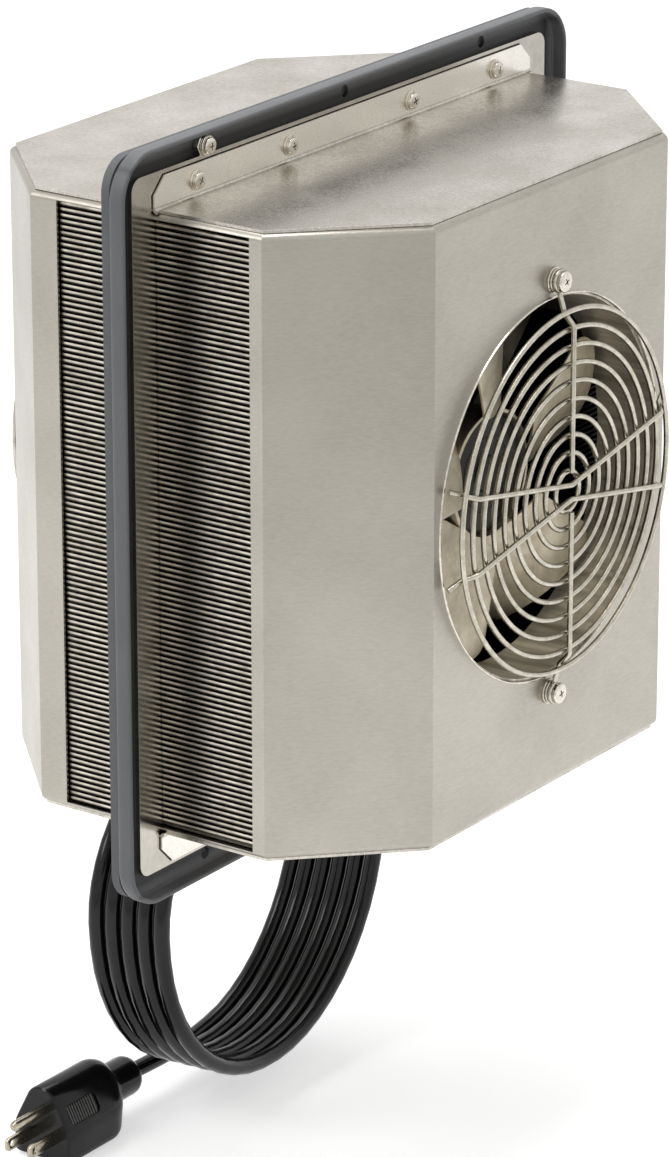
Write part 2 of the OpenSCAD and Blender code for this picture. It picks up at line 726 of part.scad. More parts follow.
// The moulded relief that the cord leaves the rear housing by. It grips the panel in a groove.
module strain_relief() color(black) translate([gland_x, gland_y, panel_under]) rotate_extrude()
    polygon(concat(
        [[0, panel_t + gland_nut_t], [gland_hole_r + gland_lead, panel_t + gland_nut_t],
         [gland_flange_r, panel_t], [gland_hole_r - fit_gap, panel_t], [gland_hole_r - fit_gap, 0],
         [gland_flange_r, 0], [gland_flange_r, -gland_flange_t]],
        [for (i = [0:gland_rib_count - 1], corner = [0:3])
            let (share = (i + (corner + 1) / 4) / gland_rib_count,
                 r = gland_body_r - (gland_body_r - gland_tip_r) * share)
            [r - (corner == 0 || corner == 3 ? gland_groove : 0),
             -gland_flange_t - (gland_l - gland_flange_t) * share]],
        [[0, -gland_l]]));

gland_end = [gland_x, gland_y, panel_under - gland_l];

// A point on the coil. Turn 0 is at the right, and the cord goes down from there.
function coil_point(turn) = let (a = 360 * turn, x = coil_r * cos(a), y = coil_pitch * turn,
        z = -sin(a) * (sin(a) < 0 ? coil_top : coil_r))
    coil_centre + [x * cos(coil_yaw) - y * sin(coil_yaw), x * sin(coil_yaw) + y * cos(coil_yaw), z];

coil_count = round(coil_turns * coil_rings);
coil_loops = [for (i = [0:coil_count]) coil_point(i / coil_rings)];
coil_axis = [-sin(coil_yaw), cos(coil_yaw), 0];
coil_in = [0, 0, -1];
coil_out = [-cos(coil_yaw), -sin(coil_yaw), 0];
coil_start = coil_loops[0] - cord_d * coil_in;
coil_end = coil_loops[coil_count] + cord_d * coil_out;
coil_path = concat([coil_start], coil_loops, [coil_end]);

// The least gap between one loop and another
coil_gap = min([for (i = [0:coil_count], j = [i + coil_rings / 2:coil_count])
    norm(coil_loops[i] - coil_loops[j]) - cord_d]);
echo(least_coil_gap = coil_gap);

module cord_coil() color(black) wire(coil_path, cord_d / 2, coil_sides, coil_axis, coil_in, coil_out);
module cord_lead() color(black)
    wire(concat([gland_end], lead_points, [coil_start]), cord_d / 2, tube_sides, coil_axis, coil_in, coil_in);
module cord_tail() color(black)
    wire(concat([coil_end], tail_points, [[plug_x, plug_y, plug_z]]), cord_d / 2, tube_sides,
        coil_axis, coil_out, [-1, 0, 0]);

// A flat tie round the five passes at the top of the coil
tie_middle = (floor(coil_turns) - 1) / 2 + 0.75;
tie_half = (floor(coil_turns) - 1) / 2 * coil_pitch;
module tie_outline(r) {
    square([2 * tie_half, 2 * r], center = true);
    for (side = [-1, 1]) translate([side * tie_half, 0]) circle(r);
}

module cord_tie() color(black)
    translate(coil_centre + coil_pitch * tie_middle * coil_axis + [0, 0, coil_top]) rotate([0, 0, coil_yaw])
        along_x(tie_w) difference() {
            tie_outline(cord_d / 2 + seat_gap + tie_t);
            tie_outline(cord_d / 2 + seat_gap);
        }

// Plug, drawn along -X from the cord's end

// Outline of the body seen from its blades: flat below, upright sides, drawn in to a round top
function plug_section() = let (w = plug_w / 2, top = plug_h - plug_low - plug_top_r)
    concat(arc([w - plug_corner_r, plug_corner_r - plug_low], plug_corner_r, -90, 0, edge_steps),
        [[w, (plug_corner_r - plug_low) / 2], [w, plug_flat_z]],
        arc([0, top], plug_top_r, top_a0, 180 - top_a0, top_steps),
        [[-w, plug_flat_z], [-w, (plug_corner_r - plug_low) / 2]],
        arc([-w + plug_corner_r, plug_corner_r - plug_low], plug_corner_r, 180, 270, edge_steps));

// A ring between the boss's circle and the body's outline
function plug_ring(x, share) = [for (p = plug_section())
    let (q = (1 - share) * boss_d / 2 * unit(p) + share * p) [x, q[0], q[1]]];

function plug_rings() = concat(
    [for (i = [0:2]) let (a = 45 * i) [for (p = plug_ring(-boss_round * (1 - cos(a)), 0))
        [p[0], p[1] * (boss_d / 2 - boss_round * (1 - sin(a))) / (boss_d / 2),
         p[2] * (boss_d / 2 - boss_round * (1 - sin(a))) / (boss_d / 2)]]],
    [for (i = [0:shoulder_steps]) let (a = 90 * i / shoulder_steps)
        plug_ring(-boss_l - plug_shoulder * (1 - cos(a)), sin(a))],
    [plug_ring(-boss_l - plug_l, 1)]);

module plug_body() color(black) translate([plug_x, plug_y, plug_z]) difference() {
    loft([for (i = [len(plug_rings()) - 1:-1:0]) plug_rings()[i]]);
    for (side = [-1, 1], i = [0:grip_count - 1])
        translate([-boss_l - grip_start - i * grip_step, side * plug_w / 2, grip_z])
            cube([grip_w, 2 * grip_d, grip_h], center = true);
}

plug_face = plug_x - boss_l - plug_l;

module plug_blades() color(nickel) for (side = [-1, 1])
    translate([plug_face, plug_y + side * blade_y, plug_z + blade_z]) rotate([-90, 0, 0])
        translate([0, 0, -blade_thick / 2]) linear_extrude(blade_thick) difference() {
            polygon([[0, -blade_h / 2], [-blade_l + blade_tip_cut, -blade_h / 2],
                [-blade_l, -blade_h / 2 + blade_tip_cut], [-blade_l, blade_h / 2 - blade_tip_cut],
                [-blade_l + blade_tip_cut, blade_h / 2], [0, blade_h / 2]]);
            translate([-blade_l + blade_hole_back, 0]) circle(blade_hole_r);
        }

module plug_ground_pin() color(nickel) translate([plug_face, plug_y, plug_z + pin_z]) rotate([0, -90, 0])
    rotate_extrude() polygon(concat([[0, 0], [pin_r, 0]],
        arc([0, ground_l - pin_r], pin_r, 0, 90, arc_steps)));

front_shroud();
rear_shroud();
front_top_panel();
front_bottom_panel();
rear_top_panel();
rear_bottom_panel();
front_plate();
rear_plate();
flange_frame();
core_collar();
gasket();
fin_core();
core_end_plates();
core_seal_left();
core_seal_right();
front_tab_screws();
rear_tab_screws();
front_guard_rings();
front_guard_bars();
rear_guard_rings();
rear_guard_bars();
front_guard_screws();
rear_guard_screws();
front_fan_collar();
rear_fan_collar();
front_motor_bracket();
rear_motor_bracket();
front_stator();
rear_stator();
front_rotor_cup();
rear_rotor_cup();
front_fan_blades();
rear_fan_blades();
ground_screw();
terminal_block();
strain_relief();
cord_lead();
cord_coil();
cord_tail();
cord_tie();
plug_body();
plug_blades();
plug_ground_pin();
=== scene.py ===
"""Looks of a cabinet heat exchanger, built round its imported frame.

Two stainless fan housings stand back to back on a grey mounting flange. Each housing, the core, the
fans, the wire guards and the coiled mains cord has a class of its own. Every length is in metres, in
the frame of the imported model: +Z is up, the front housing faces -Y, and y = 0 is the flange's back.
"""
import logging
import math
from dataclasses import dataclass, field
from enum import Enum
from typing import Sequence

import bmesh
import bpy
from mathutils import Matrix, Vector


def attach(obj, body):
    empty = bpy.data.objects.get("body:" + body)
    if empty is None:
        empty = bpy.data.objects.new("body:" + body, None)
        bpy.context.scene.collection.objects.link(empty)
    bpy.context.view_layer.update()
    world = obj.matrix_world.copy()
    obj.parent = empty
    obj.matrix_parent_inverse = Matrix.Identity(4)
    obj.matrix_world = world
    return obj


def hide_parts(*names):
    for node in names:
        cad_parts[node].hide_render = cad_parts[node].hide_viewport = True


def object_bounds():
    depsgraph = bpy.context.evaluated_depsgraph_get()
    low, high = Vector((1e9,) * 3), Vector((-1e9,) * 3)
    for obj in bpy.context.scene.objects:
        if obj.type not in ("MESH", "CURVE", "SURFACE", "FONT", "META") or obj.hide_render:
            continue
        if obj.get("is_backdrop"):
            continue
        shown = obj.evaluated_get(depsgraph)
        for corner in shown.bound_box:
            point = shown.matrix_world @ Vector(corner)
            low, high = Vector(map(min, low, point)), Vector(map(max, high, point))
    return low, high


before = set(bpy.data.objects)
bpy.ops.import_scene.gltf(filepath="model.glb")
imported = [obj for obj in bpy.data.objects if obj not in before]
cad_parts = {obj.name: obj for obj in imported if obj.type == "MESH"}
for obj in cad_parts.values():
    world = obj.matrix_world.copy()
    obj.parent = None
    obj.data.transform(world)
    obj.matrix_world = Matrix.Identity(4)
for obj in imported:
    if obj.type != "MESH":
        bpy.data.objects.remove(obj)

LOG = logging.getLogger("heat_exchanger")
MM = 0.001
FULL_TURN = 2 * math.pi
UNIT, FRONT_FAN, REAR_FAN = "unit", "front_fan", "rear_fan"

# Where nearly all of a noise texture's values lie
NOISE_LOW, NOISE_HIGH = 0.3, 0.7
# In metres: points this near are one in a drawn shape and in a copied node, and edges this short go
DRAWN_GAP, COPIED_GAP, NO_EDGE = 1e-6, 2e-6, 1e-7
# In millimetres along Y: the plates' outer faces, and a housing's face ahead of its plate
FRONT_PLATE_Y, REAR_PLATE_Y, FACE = -4.0, 4.6, -106.3
# In millimetres: the guard's wire, the height of its eyes, and how far they stand off the face
WIRE_R, EYE_Z, EYE_STAND = 1.2, 93.0, 3.2


# Colours, nodes and finishes

def linear(colour: str) -> tuple[float, float, float, float]:
    """Turns an sRGB hex colour linear.

    Args:
        colour: six hex digits, such as "b4b0a6".

    Returns:
        Red, green, blue and alpha, each from 0 to 1.
    """
    shares = [int(colour[i:i + 2], 16) / 255 for i in (0, 2, 4)]
    return (*[s / 12.92 if s <= 0.04045 else ((s + 0.055) / 1.055) ** 2.4 for s in shares], 1.0)


def add(tree: bpy.types.NodeTree, kind: str, inputs: dict | None = None, **settings) -> bpy.types.Node:
    """Adds a node to a tree, with its settings and links.

    Args:
        tree: the node tree that it joins.
        kind: the node's type name.
        inputs: for each input's name or number, a value or the socket that feeds it.
        **settings: the node's own properties.

    Returns:
        The new node.
    """
    node = tree.nodes.new(kind)
    for name, value in settings.items():
        setattr(node, name, value)
    for name, value in (inputs or {}).items():
        if isinstance(value, bpy.types.NodeSocket):
            tree.links.new(value, node.inputs[name])
        else:
            node.inputs[name].default_value = value
    return node


def calc(tree: bpy.types.NodeTree, operation: str, *values, **settings) -> bpy.types.NodeSocket:
    """Adds a Math node for values or sockets and gives its result."""
    return add(tree, "ShaderNodeMath", dict(enumerate(values)), operation=operation, **settings).outputs[0]


def ranged(tree: bpy.types.NodeTree, value: bpy.types.NodeSocket, low: float, high: float,
           least: float = 0.0, most: float = 1.0) -> bpy.types.NodeSocket:
    """Adds a node that takes a value between low and high to one between least and most."""
    return add(tree, "ShaderNodeMapRange", {
        "Value": value, "From Min": low, "From Max": high, "To Min": least, "To Max": most}).outputs[0]


def mixed(tree: bpy.types.NodeTree, factor: bpy.types.NodeSocket, first, second) -> bpy.types.NodeSocket:
    """Adds a node that mixes two colours and gives the mix: the first at 0, the second at 1."""
    return add(tree, "ShaderNodeMix", {"Factor": factor, "A": first, "B": second},
               data_type="RGBA").outputs["Result"]


@dataclass(frozen=True)
class Finish:
    """A surface: its colour, its gloss, and the patches and grain that it shows.

    The patches and the grain pull the colour towards the shade and move the roughness. The grain has
    a spacing along each axis, so a long one beside two short ones is a line of brushing or drawing.
    Nearer the middle than shade_painted_until_mm, along X or along X and Z, the colour is the dark one:
    painted shade in folds that swallow the light, and on the floor of a tray. Teeth with a pitch of tooth_mm
    get painted shade on their lower half, which turns away from the light. Further up and down than
    tab_light_from_mm the colour goes most of the way to the tab one: a painted highlight on a lid's upright
    tabs.
    """
    name: str
    colour: str
    shade: str
    metallic: float
    roughness: float
    rough_spread: float = 0.08
    patch_mm: float = 60.0
    patch_share: float = 0.5
    grain_mm: tuple[float, float, float] = (2.0, 2.0, 2.0)
    grain_share: float = 0.4
    relief_mm: float = 0.02
    specular: float = 0.5
    dark: str = "1a1917"
    shade_painted_until_mm: float = 0.0
    shade_painted_fade_mm: float = 0.45
    shade_painted_upright: bool = False
    tooth_mm: float = 0.0
    tooth_start_mm: float = 0.0
    tooth_edge: tuple[float, float] = (0.34, 0.56)
    tab: str = "f8f4ec"
    tab_light_from_mm: float = 0.0
    tab_light_fade_mm: float = 0.6
    tab_light_share: float = 0.62

    def material(self) -> bpy.types.Material:
        """Makes the finish's material, or gives the one already made."""
        made = bpy.data.materials.get(self.name)
        if made:
            return made
        made = bpy.data.materials.new(self.name)
        made.use_nodes = True
        tree = made.node_tree
        tree.nodes.clear()
        place = add(tree, "ShaderNodeTexCoord").outputs["Object"]
        patches = add(tree, "ShaderNodeTexNoise", {
            "Vector": place, "Scale": 1 / (self.patch_mm * MM), "Detail": 3.0, "Roughness": 0.55})
        stretched = add(tree, "ShaderNodeMapping", {
            "Vector": place, "Scale": [1 / (size * MM) for size in self.grain_mm]})
        grain = add(tree, "ShaderNodeTexNoise", {
            "Vector": stretched.outputs["Vector"], "Scale": 1.0, "Detail": 2.0, "Roughness": 0.6})
        cloud = ranged(tree, patches.outputs["Fac"], NOISE_LOW, NOISE_HIGH, most=self.patch_share)
        lines = ranged(tree, grain.outputs["Fac"], NOISE_LOW, NOISE_HIGH, most=self.grain_share)
        both = calc(tree, "ADD", cloud, lines, use_clamp=True)
        colour = mixed(tree, both, linear(self.colour), linear(self.shade))
        apart = add(tree, "ShaderNodeSeparateXYZ", {0: place}).outputs
        # Painted shade: nearer the middle the colour goes to the dark one, for deep folds and a tray's floor.
        if self.shade_painted_until_mm:
            reach = calc(tree, "ABSOLUTE", apart["X"])
            if self.shade_painted_upright:
                reach = calc(tree, "MAXIMUM", reach, calc(tree, "ABSOLUTE", apart["Z"]))
            painted_shade_mask = ranged(tree, reach, self.shade_painted_until_mm * MM,
                           (self.shade_painted_until_mm + self.shade_painted_fade_mm) * MM)
            colour = mixed(tree, painted_shade_mask, linear(self.dark), colour)
        # Painted highlight: on a lid's tabs the colour goes most of the way to the tab one.
        if self.tab_light_from_mm:
            tab_painted_light = ranged(tree, calc(tree, "ABSOLUTE", apart["Z"]), self.tab_light_from_mm * MM,
                          (self.tab_light_from_mm + self.tab_light_fade_mm) * MM, most=self.tab_light_share)
            colour = mixed(tree, tab_painted_light, colour, linear(self.tab))
        # Painted shade: the lower half of each tooth of a comb seal is the dark colour.
        if self.tooth_mm:
            rear = calc(tree, "GREATER_THAN", apart["Y"], 0.0)
            level = calc(tree, "MULTIPLY_ADD", apart["Z"], 1 / (self.tooth_mm * MM),
                         0.5 - self.tooth_start_mm / self.tooth_mm)
            share = calc(tree, "FRACT", calc(tree, "MULTIPLY_ADD", rear, 0.5, level))
            colour = mixed(tree, ranged(tree, share, *self.tooth_edge), linear(self.dark), colour)
        rough = ranged(tree, both, 0.0, 1.0, self.roughness - self.rough_spread / 2,
                       self.roughness + self.rough_spread)
        bump = add(tree, "ShaderNodeBump", {
            "Height": grain.outputs["Fac"], "Distance": self.relief_mm * MM, "Strength": 1.0})
        shader = add(tree, "ShaderNodeBsdfPrincipled", {
            "Base Color": colour, "Roughness": rough, "Normal": bump.outputs[0], "Metallic": self.metallic,
            "Specular IOR Level": self.specular})
        add(tree, "ShaderNodeOutputMaterial", {"Surface": shader.outputs[0]})
        return made


# Stainless sheet with a brushed finish: short marks, cloudy where it was handled. The real grit's marks
# lie 0.1 mm apart; they are drawn 0.6 mm apart so that they show.
BRUSHED_WRAP = Finish("brushed_stainless_wrap", "b6b2a8", "a09c92", 1.0, 0.33, 0.08, 70.0, 0.5,
                      (3.2, 3.2, 0.6), 0.4, 0.022)
# The same sheet on the lids, where the roll runs across: smoother, with a livelier reflection, and a painted
# highlight on the tabs that stand up from them.
BRUSHED_LID = Finish("brushed_stainless_lid", "d4cfc6", "a8a399", 1.0, 0.24, 0.12, 30.0, 0.6,
                     (1.6, 1.6, 1.6), 0.5, 0.03, tab_light_from_mm=139.6)
# Bright-rolled stainless plate, nearly a mirror, with slow waves in it.
BRIGHT_PLATE = Finish("bright_rolled_stainless_plate", "c0bcb3", "9f9b92", 1.0, 0.19, 0.05, 20.0, 0.5,
                      (4.0, 4.0, 4.0), 0.35, 0.02)
# Plain sheet inside the housing: duller and darker, with oil stains.
PLAIN_SHEET = Finish("plain_rolled_steel", "a29f98", "7c7972", 1.0, 0.36, 0.12, 25.0, 0.7,
                     (3.0, 3.0, 3.0), 0.3, 0.01)
# Powder coat on the flange: a satin grey skin with fine orange peel, and painted shade on the tray's floor
# within 158 mm of the middle.
POWDER_COAT = Finish("satin_grey_powder_coat", "707173", "626365", 0.0, 0.40, 0.08, 40.0, 0.4,
                     (0.9, 0.9, 0.9), 0.35, 0.05, specular=0.22, dark="242425", shade_painted_until_mm=158.0,
                     shade_painted_fade_mm=4.0, shade_painted_upright=True)
# Drawn wire, nickel plated: bright, a little warm, with faint marks of the die.
PLATED_WIRE = Finish("nickel_plated_wire", "d2cdc0", "9f998b", 1.0, 0.20, 0.10, 6.0, 0.6,
                     (0.8, 0.8, 0.8), 0.4, 0.02)
# Polished stainless screws, with turning marks.
POLISHED_SCREW = Finish("polished_stainless_screw", "ebe6dc", "aea698", 1.0, 0.12, 0.08, 2.5, 0.5,
                        (0.5, 0.5, 0.5), 0.4, 0.02)
# Sheet-metal fan parts: bright, with rolling haze and dust in patches.
FAN_SHEET = Finish("bright_fan_sheet", "ded5c1", "aca28b", 1.0, 0.42, 0.10, 12.0, 0.6,
                   (5.0, 1.5, 5.0), 0.3, 0.02)
# The spun collar: polished, with bright and dark bands along the axis that are painted reflection.
COLLAR_SHEET = Finish("spun_collar_sheet", "f4efe4", "a39c8d", 1.0, 0.50, 0.12, 30.0, 0.3,
                      (7.0, 80.0, 7.0), 0.9, 0.02)
# Aluminium foil folded into fins: soft sheen, each fold a little different, and painted shade on the folds
# nearer the middle than 135.5 mm.
FIN_FOIL = Finish("folded_aluminium_foil", "d6d0c2", "a8a294", 1.0, 0.30, 0.10, 9.0, 0.6,
                  (25.0, 4.0, 1.3), 0.5, 0.02, shade_painted_until_mm=135.5)
# The comb seals over the folds' ends: the same foil, rolled over so that the lower half of each tooth turns
# away, and that half gets painted shade.
SEAL_FOIL = Finish("rolled_aluminium_comb", "dcd6c8", "a8a294", 1.0, 0.30, 0.10, 9.0, 0.6,
                   (25.0, 4.0, 1.3), 0.5, 0.02, dark="2a2825", tooth_mm=2.54, tooth_start_mm=-132.08)
# Black coat on the motor's cup: smooth, with dust settled in patches.
MOTOR_COAT = Finish("black_motor_enamel", "0d0d0d", "191817", 0.0, 0.30, 0.12, 9.0, 0.6,
                    (0.8, 0.8, 0.8), 0.4, 0.02, specular=0.3)
# Stacked steel laminations: fine dark rings one sheet apart.
LAMINATIONS = Finish("stacked_electrical_steel", "6d6a66", "3a3836", 1.0, 0.45, 0.10, 8.0, 0.4,
                     (6.0, 0.5, 6.0), 0.8, 0.03)
# Closed-cell foam rubber: matt, with tiny cells.
FOAM = Finish("closed_cell_foam_rubber", "6f7072", "5e5f61", 0.0, 0.85, 0.08, 15.0, 0.3,
              (0.6, 0.6, 0.6), 0.8, 0.15)
# Extruded PVC jacket: smooth and black, with a narrow, sharp shine.
CORD_JACKET = Finish("extruded_black_pvc", "090909", "101010", 0.0, 0.15, 0.05, 20.0, 0.4,
                     (1.5, 1.5, 1.5), 0.3, 0.0, specular=0.32)
# Moulded PVC plug: nearly as smooth as the jacket, with a fine moulded skin and less shine.
PLUG_PLASTIC = Finish("moulded_black_pvc", "0b0b0b", "141414", 0.0, 0.16, 0.06, 10.0, 0.4,
                      (0.7, 0.7, 0.7), 0.3, 0.004, specular=0.27)
# The grips' ribs: the same PVC in a paler grey, a painted highlight so that each rib shows as a line.
GRIP_PLASTIC = Finish("rubbed_black_pvc_ribs", "5a5a58", "3a3a39", 0.0, 0.24, 0.06, 6.0, 0.4,
                      (0.7, 0.7, 0.7), 0.3, 0.004, specular=0.5)
# Matt moulded nylon.
BLOCK_NYLON = Finish("moulded_black_nylon", "1a1a1a", "111111", 0.0, 0.50, 0.08, 6.0, 0.4,
                     (0.6, 0.6, 0.6), 0.5, 0.02)
# Painted shadow in the narrow gap round a tab: a matt, nearly black line.
SEAM_SHADOW = Finish("grime_in_the_seams", "38332c", "1e1b17", 0.0, 0.7, 0.08, 5.0, 0.5,
                    (0.6, 0.6, 0.6), 0.5, 0.02, specular=0.2)
# Nickel plate on the brass pins, rubbed by use along their length.
PIN_NICKEL = Finish("nickel_plated_brass", "cdc4b3", "8f8674", 1.0, 0.22, 0.12, 5.0, 0.5,
                    (5.0, 0.5, 0.5), 0.5, 0.01)


# Shapes

class Side(Enum):
    """The two housings. Shapes are drawn ahead of a plate's face and moved to theirs by matrix()."""
    FRONT = "front"
    REAR = "rear"

    def matrix(self) -> Matrix:
        """Moves a shape from the drawing place to this housing: the rear one is a mirror image."""
        if self is Side.FRONT:
            return Matrix.Translation((0, FRONT_PLATE_Y * MM, 0))
        return Matrix.Translation((0, REAR_PLATE_Y * MM, 0)) @ Matrix.Diagonal((1, -1, 1, 1))

    def fan(self) -> str:
        """The body that this housing's rotor is."""
        return FRONT_FAN if self is Side.FRONT else REAR_FAN


@dataclass
class Shape:
    """Points and faces of a piece, before they become a mesh."""
    points: list[Vector] = field(default_factory=list)
    faces: list[tuple[int, ...]] = field(default_factory=list)

    def moved(self, matrix: Matrix) -> "Shape":
        """Gives a copy that a matrix has moved."""
        return Shape([matrix @ p for p in self.points], list(self.faces))

    def joined(self, *others: "Shape") -> "Shape":
        """Gives one shape that holds this one and others."""
        whole = Shape(list(self.points), list(self.faces))
        for other in others:
            start = len(whole.points)
            whole.points += other.points
            whole.faces += [tuple(i + start for i in face) for face in other.faces]
        return whole

    def mesh(self, name: str, crease: float = 35.0) -> bpy.types.Mesh:
        """Makes a mesh with merged points, outward faces and smooth shading up to a crease.

        Args:
            name: the mesh's name.
            crease: the angle between faces, in degrees, above which their edge stays sharp.

        Returns:
            The mesh.
        """
        mesh = bpy.data.meshes.new(name)
        mesh.from_pydata(self.points, [], self.faces)
        whole = bmesh.new()
        whole.from_mesh(mesh)
        bmesh.ops.remove_doubles(whole, verts=whole.verts, dist=DRAWN_GAP)
        bmesh.ops.dissolve_degenerate(whole, edges=whole.edges, dist=NO_EDGE)
        bmesh.ops.recalc_face_normals(whole, faces=whole.faces)
        whole.to_mesh(mesh)
        whole.free()
        smooth(mesh, crease)
        return mesh


def smooth(mesh: bpy.types.Mesh, crease: float) -> None:
    """Shades a mesh smooth, with sharp edges above a crease angle in degrees."""
    mesh.polygons.foreach_set("use_smooth", [True] * len(mesh.polygons))
    mesh.set_sharp_from_angle(angle=math.radians(crease))
    mesh.update()


def turned(outline: Sequence[tuple[float, float]], steps: int = 48, closed: bool = False) -> Shape:
    """Turns an outline about the Y axis.

    Args:
        outline: points of radius and y, in millimetres.
        steps: how many faces go round.
        closed: whether the last point joins the first, as in a ring's section.

    Returns:
        The turned shape, in metres.
    """
    count = len(outline)
    points = [Vector((r * math.cos(a), y, r * math.sin(a))) * MM
              for i in range(steps) for a in [FULL_TURN * i / steps] for r, y in outline]
    faces = [(i * count + j, i * count + (j + 1) % count, (i + 1) % steps * count + (j + 1) % count,
              (i + 1) % steps * count + j)
             for i in range(steps) for j in range(count if closed else count - 1)]
    return Shape(points, faces)


def lofted(rings: Sequence[Sequence[Vector]], capped: bool = True) -> Shape:
    """Joins rings of points, one after another, with a cap on each end if asked."""
    count = len(rings[0])
    faces = [(i * count + j, i * count + (j + 1) % count, (i + 1) * count + (j + 1) % count,
              (i + 1) * count + j) for i in range(len(rings) - 1) for j in range(count)]
    if capped:
        last = (len(rings) - 1) * count
        faces += [tuple(range(count)), tuple(range(last, last + count))]
    return Shape([p for ring in rings for p in ring], faces)


def tube(path: Sequence[Vector], radius: float, sides: int) -> Shape:
    """Sweeps a circle along a path, without twist.

    Args:
        path: the centreline, in metres.
        radius: the tube's radius, in metres.
        sides: how many faces go round.

    Returns:
        A closed tube.
    """
    rings = []
    heading = (path[1] - path[0]).normalized()
    across = heading.orthogonal().normalized()
    for i, p in enumerate(path):
        new = (path[min(i + 1, len(path) - 1)] - path[max(i - 1, 0)]).normalized()
        across.rotate(heading.rotation_difference(new))
        across = (across - across.project(new)).normalized()
        heading = new
        other = heading.cross(across)
        rings.append([p + radius * (math.cos(a) * across + math.sin(a) * other)
                      for a in (FULL_TURN * j / sides for j in range(sides))])
    return lofted(rings)


def flowing(points: Sequence[Vector], steps: int) -> list[Vector]:
    """Puts a smooth curve through points, with some steps between one and the next."""
    line = [2 * points[0] - points[1], *points, 2 * points[-1] - points[-2]]
    curve = []
    for a, b, c, d in zip(line, line[1:], line[2:], line[3:]):
        for i in range(steps):
            t = i / steps
            curve.append(0.5 * (2 * b + (c - a) * t + (2 * a - 5 * b + 4 * c - d) * t ** 2
                                + (3 * b - a - 3 * c + d) * t ** 3))
    return [*curve, points[-1].copy()]


def bar(size: tuple[float, float, float], centre: tuple[float, float, float]) -> Shape:
    """A block, given its size and centre in millimetres."""
    points = [Vector([c + s * h / 2 for c, s, h in zip(centre, signs, size)]) * MM
              for signs in ((x, y, z) for x in (-1, 1) for y in (-1, 1) for z in (-1, 1))]
    return Shape(points, [(0, 1, 3, 2), (4, 6, 7, 5), (0, 4, 5, 1), (2, 3, 7, 6), (0, 2, 6, 4), (1, 5, 7, 3)])


def arc(x: float, z: float, r: float, start: int, stop: int, step: int) -> list[tuple[float, float]]:
    """Points on a circle about a middle, from one angle to another, in degrees."""
    angles = [math.radians(a) for a in range(start, stop + 1, step)]
    return [(x + r * math.cos(a), z + r * math.sin(a)) for a in angles]


def stacked(rim: Sequence[tuple[float, float]], *levels: tuple[float, float]) -> Shape:
    """Joins copies of a rim of x and z, in millimetres. Each level is a y and a scale."""
    return lofted([[Vector((x * k, y, z * k)) * MM for x, z in rim] for y, k in levels])


# Pieces

def evaluated(piece: bpy.types.Object) -> bpy.types.Mesh:
    """Gives a plain mesh of a piece with its modifiers carried out."""
    bpy.context.view_layer.update()
    return bpy.data.meshes.new_from_object(piece.evaluated_get(bpy.context.evaluated_depsgraph_get()))


def linked(name: str, mesh: bpy.types.Mesh) -> bpy.types.Object:
    """Puts a mesh into the scene as an object at the origin."""
    piece = bpy.data.objects.new(name, mesh)
    bpy.context.scene.collection.objects.link(piece)
    return piece


def settle(piece: bpy.types.Object) -> None:
    """Carries out a piece's modifiers and removes them."""
    made = evaluated(piece)
    piece.modifiers.clear()
    old, piece.data = piece.data, made
    made.name = piece.name
    bpy.data.meshes.remove(old)


def rounded(piece: bpy.types.Object, width_mm: float, limit: str = "ANGLE") -> None:
    """Adds a modifier that rounds a piece's edges."""
    rounding = piece.modifiers.new("rounding", "BEVEL")
    rounding.width, rounding.segments, rounding.limit_method = width_mm * MM, 2, limit


def merged(mesh: bpy.types.Mesh, *others: bpy.types.Mesh) -> bpy.types.Mesh:
    """Adds other meshes to a mesh, as loose parts of it, and gives it back."""
    whole = bmesh.new()
    for part in (mesh, *others):
        whole.from_mesh(part)
    whole.to_mesh(mesh)
    whole.free()
    return mesh


def fit(piece: bpy.types.Object, finish: Finish, body: str, slot: str, *replaced: str) -> bpy.types.Object:
    """Dresses a piece, makes it ride on its body and lets it stand for its nodes.

    Args:
        piece: an object at the origin.
        finish: what its surface is.
        body: the body that it moves with.
        slot: the record's material slot; not used.
        *replaced: the nodes that it stands for.

    Returns:
        The same piece.
    """
    piece.data.materials.clear()
    piece.data.materials.append(finish.material())
    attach(piece, body)
    if replaced:
        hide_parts(*replaced)
    LOG.info("%s: %d faces, %s, on %s", piece.name, len(piece.data.polygons), finish.name, body)
    return piece


def dress(node: str, finish: Finish) -> None:
    """Gives a node that stays as it is its finish."""
    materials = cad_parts[node].data.materials
    materials.clear()
    materials.append(finish.material())
    LOG.info("%s: kept, %s", node, finish.name)


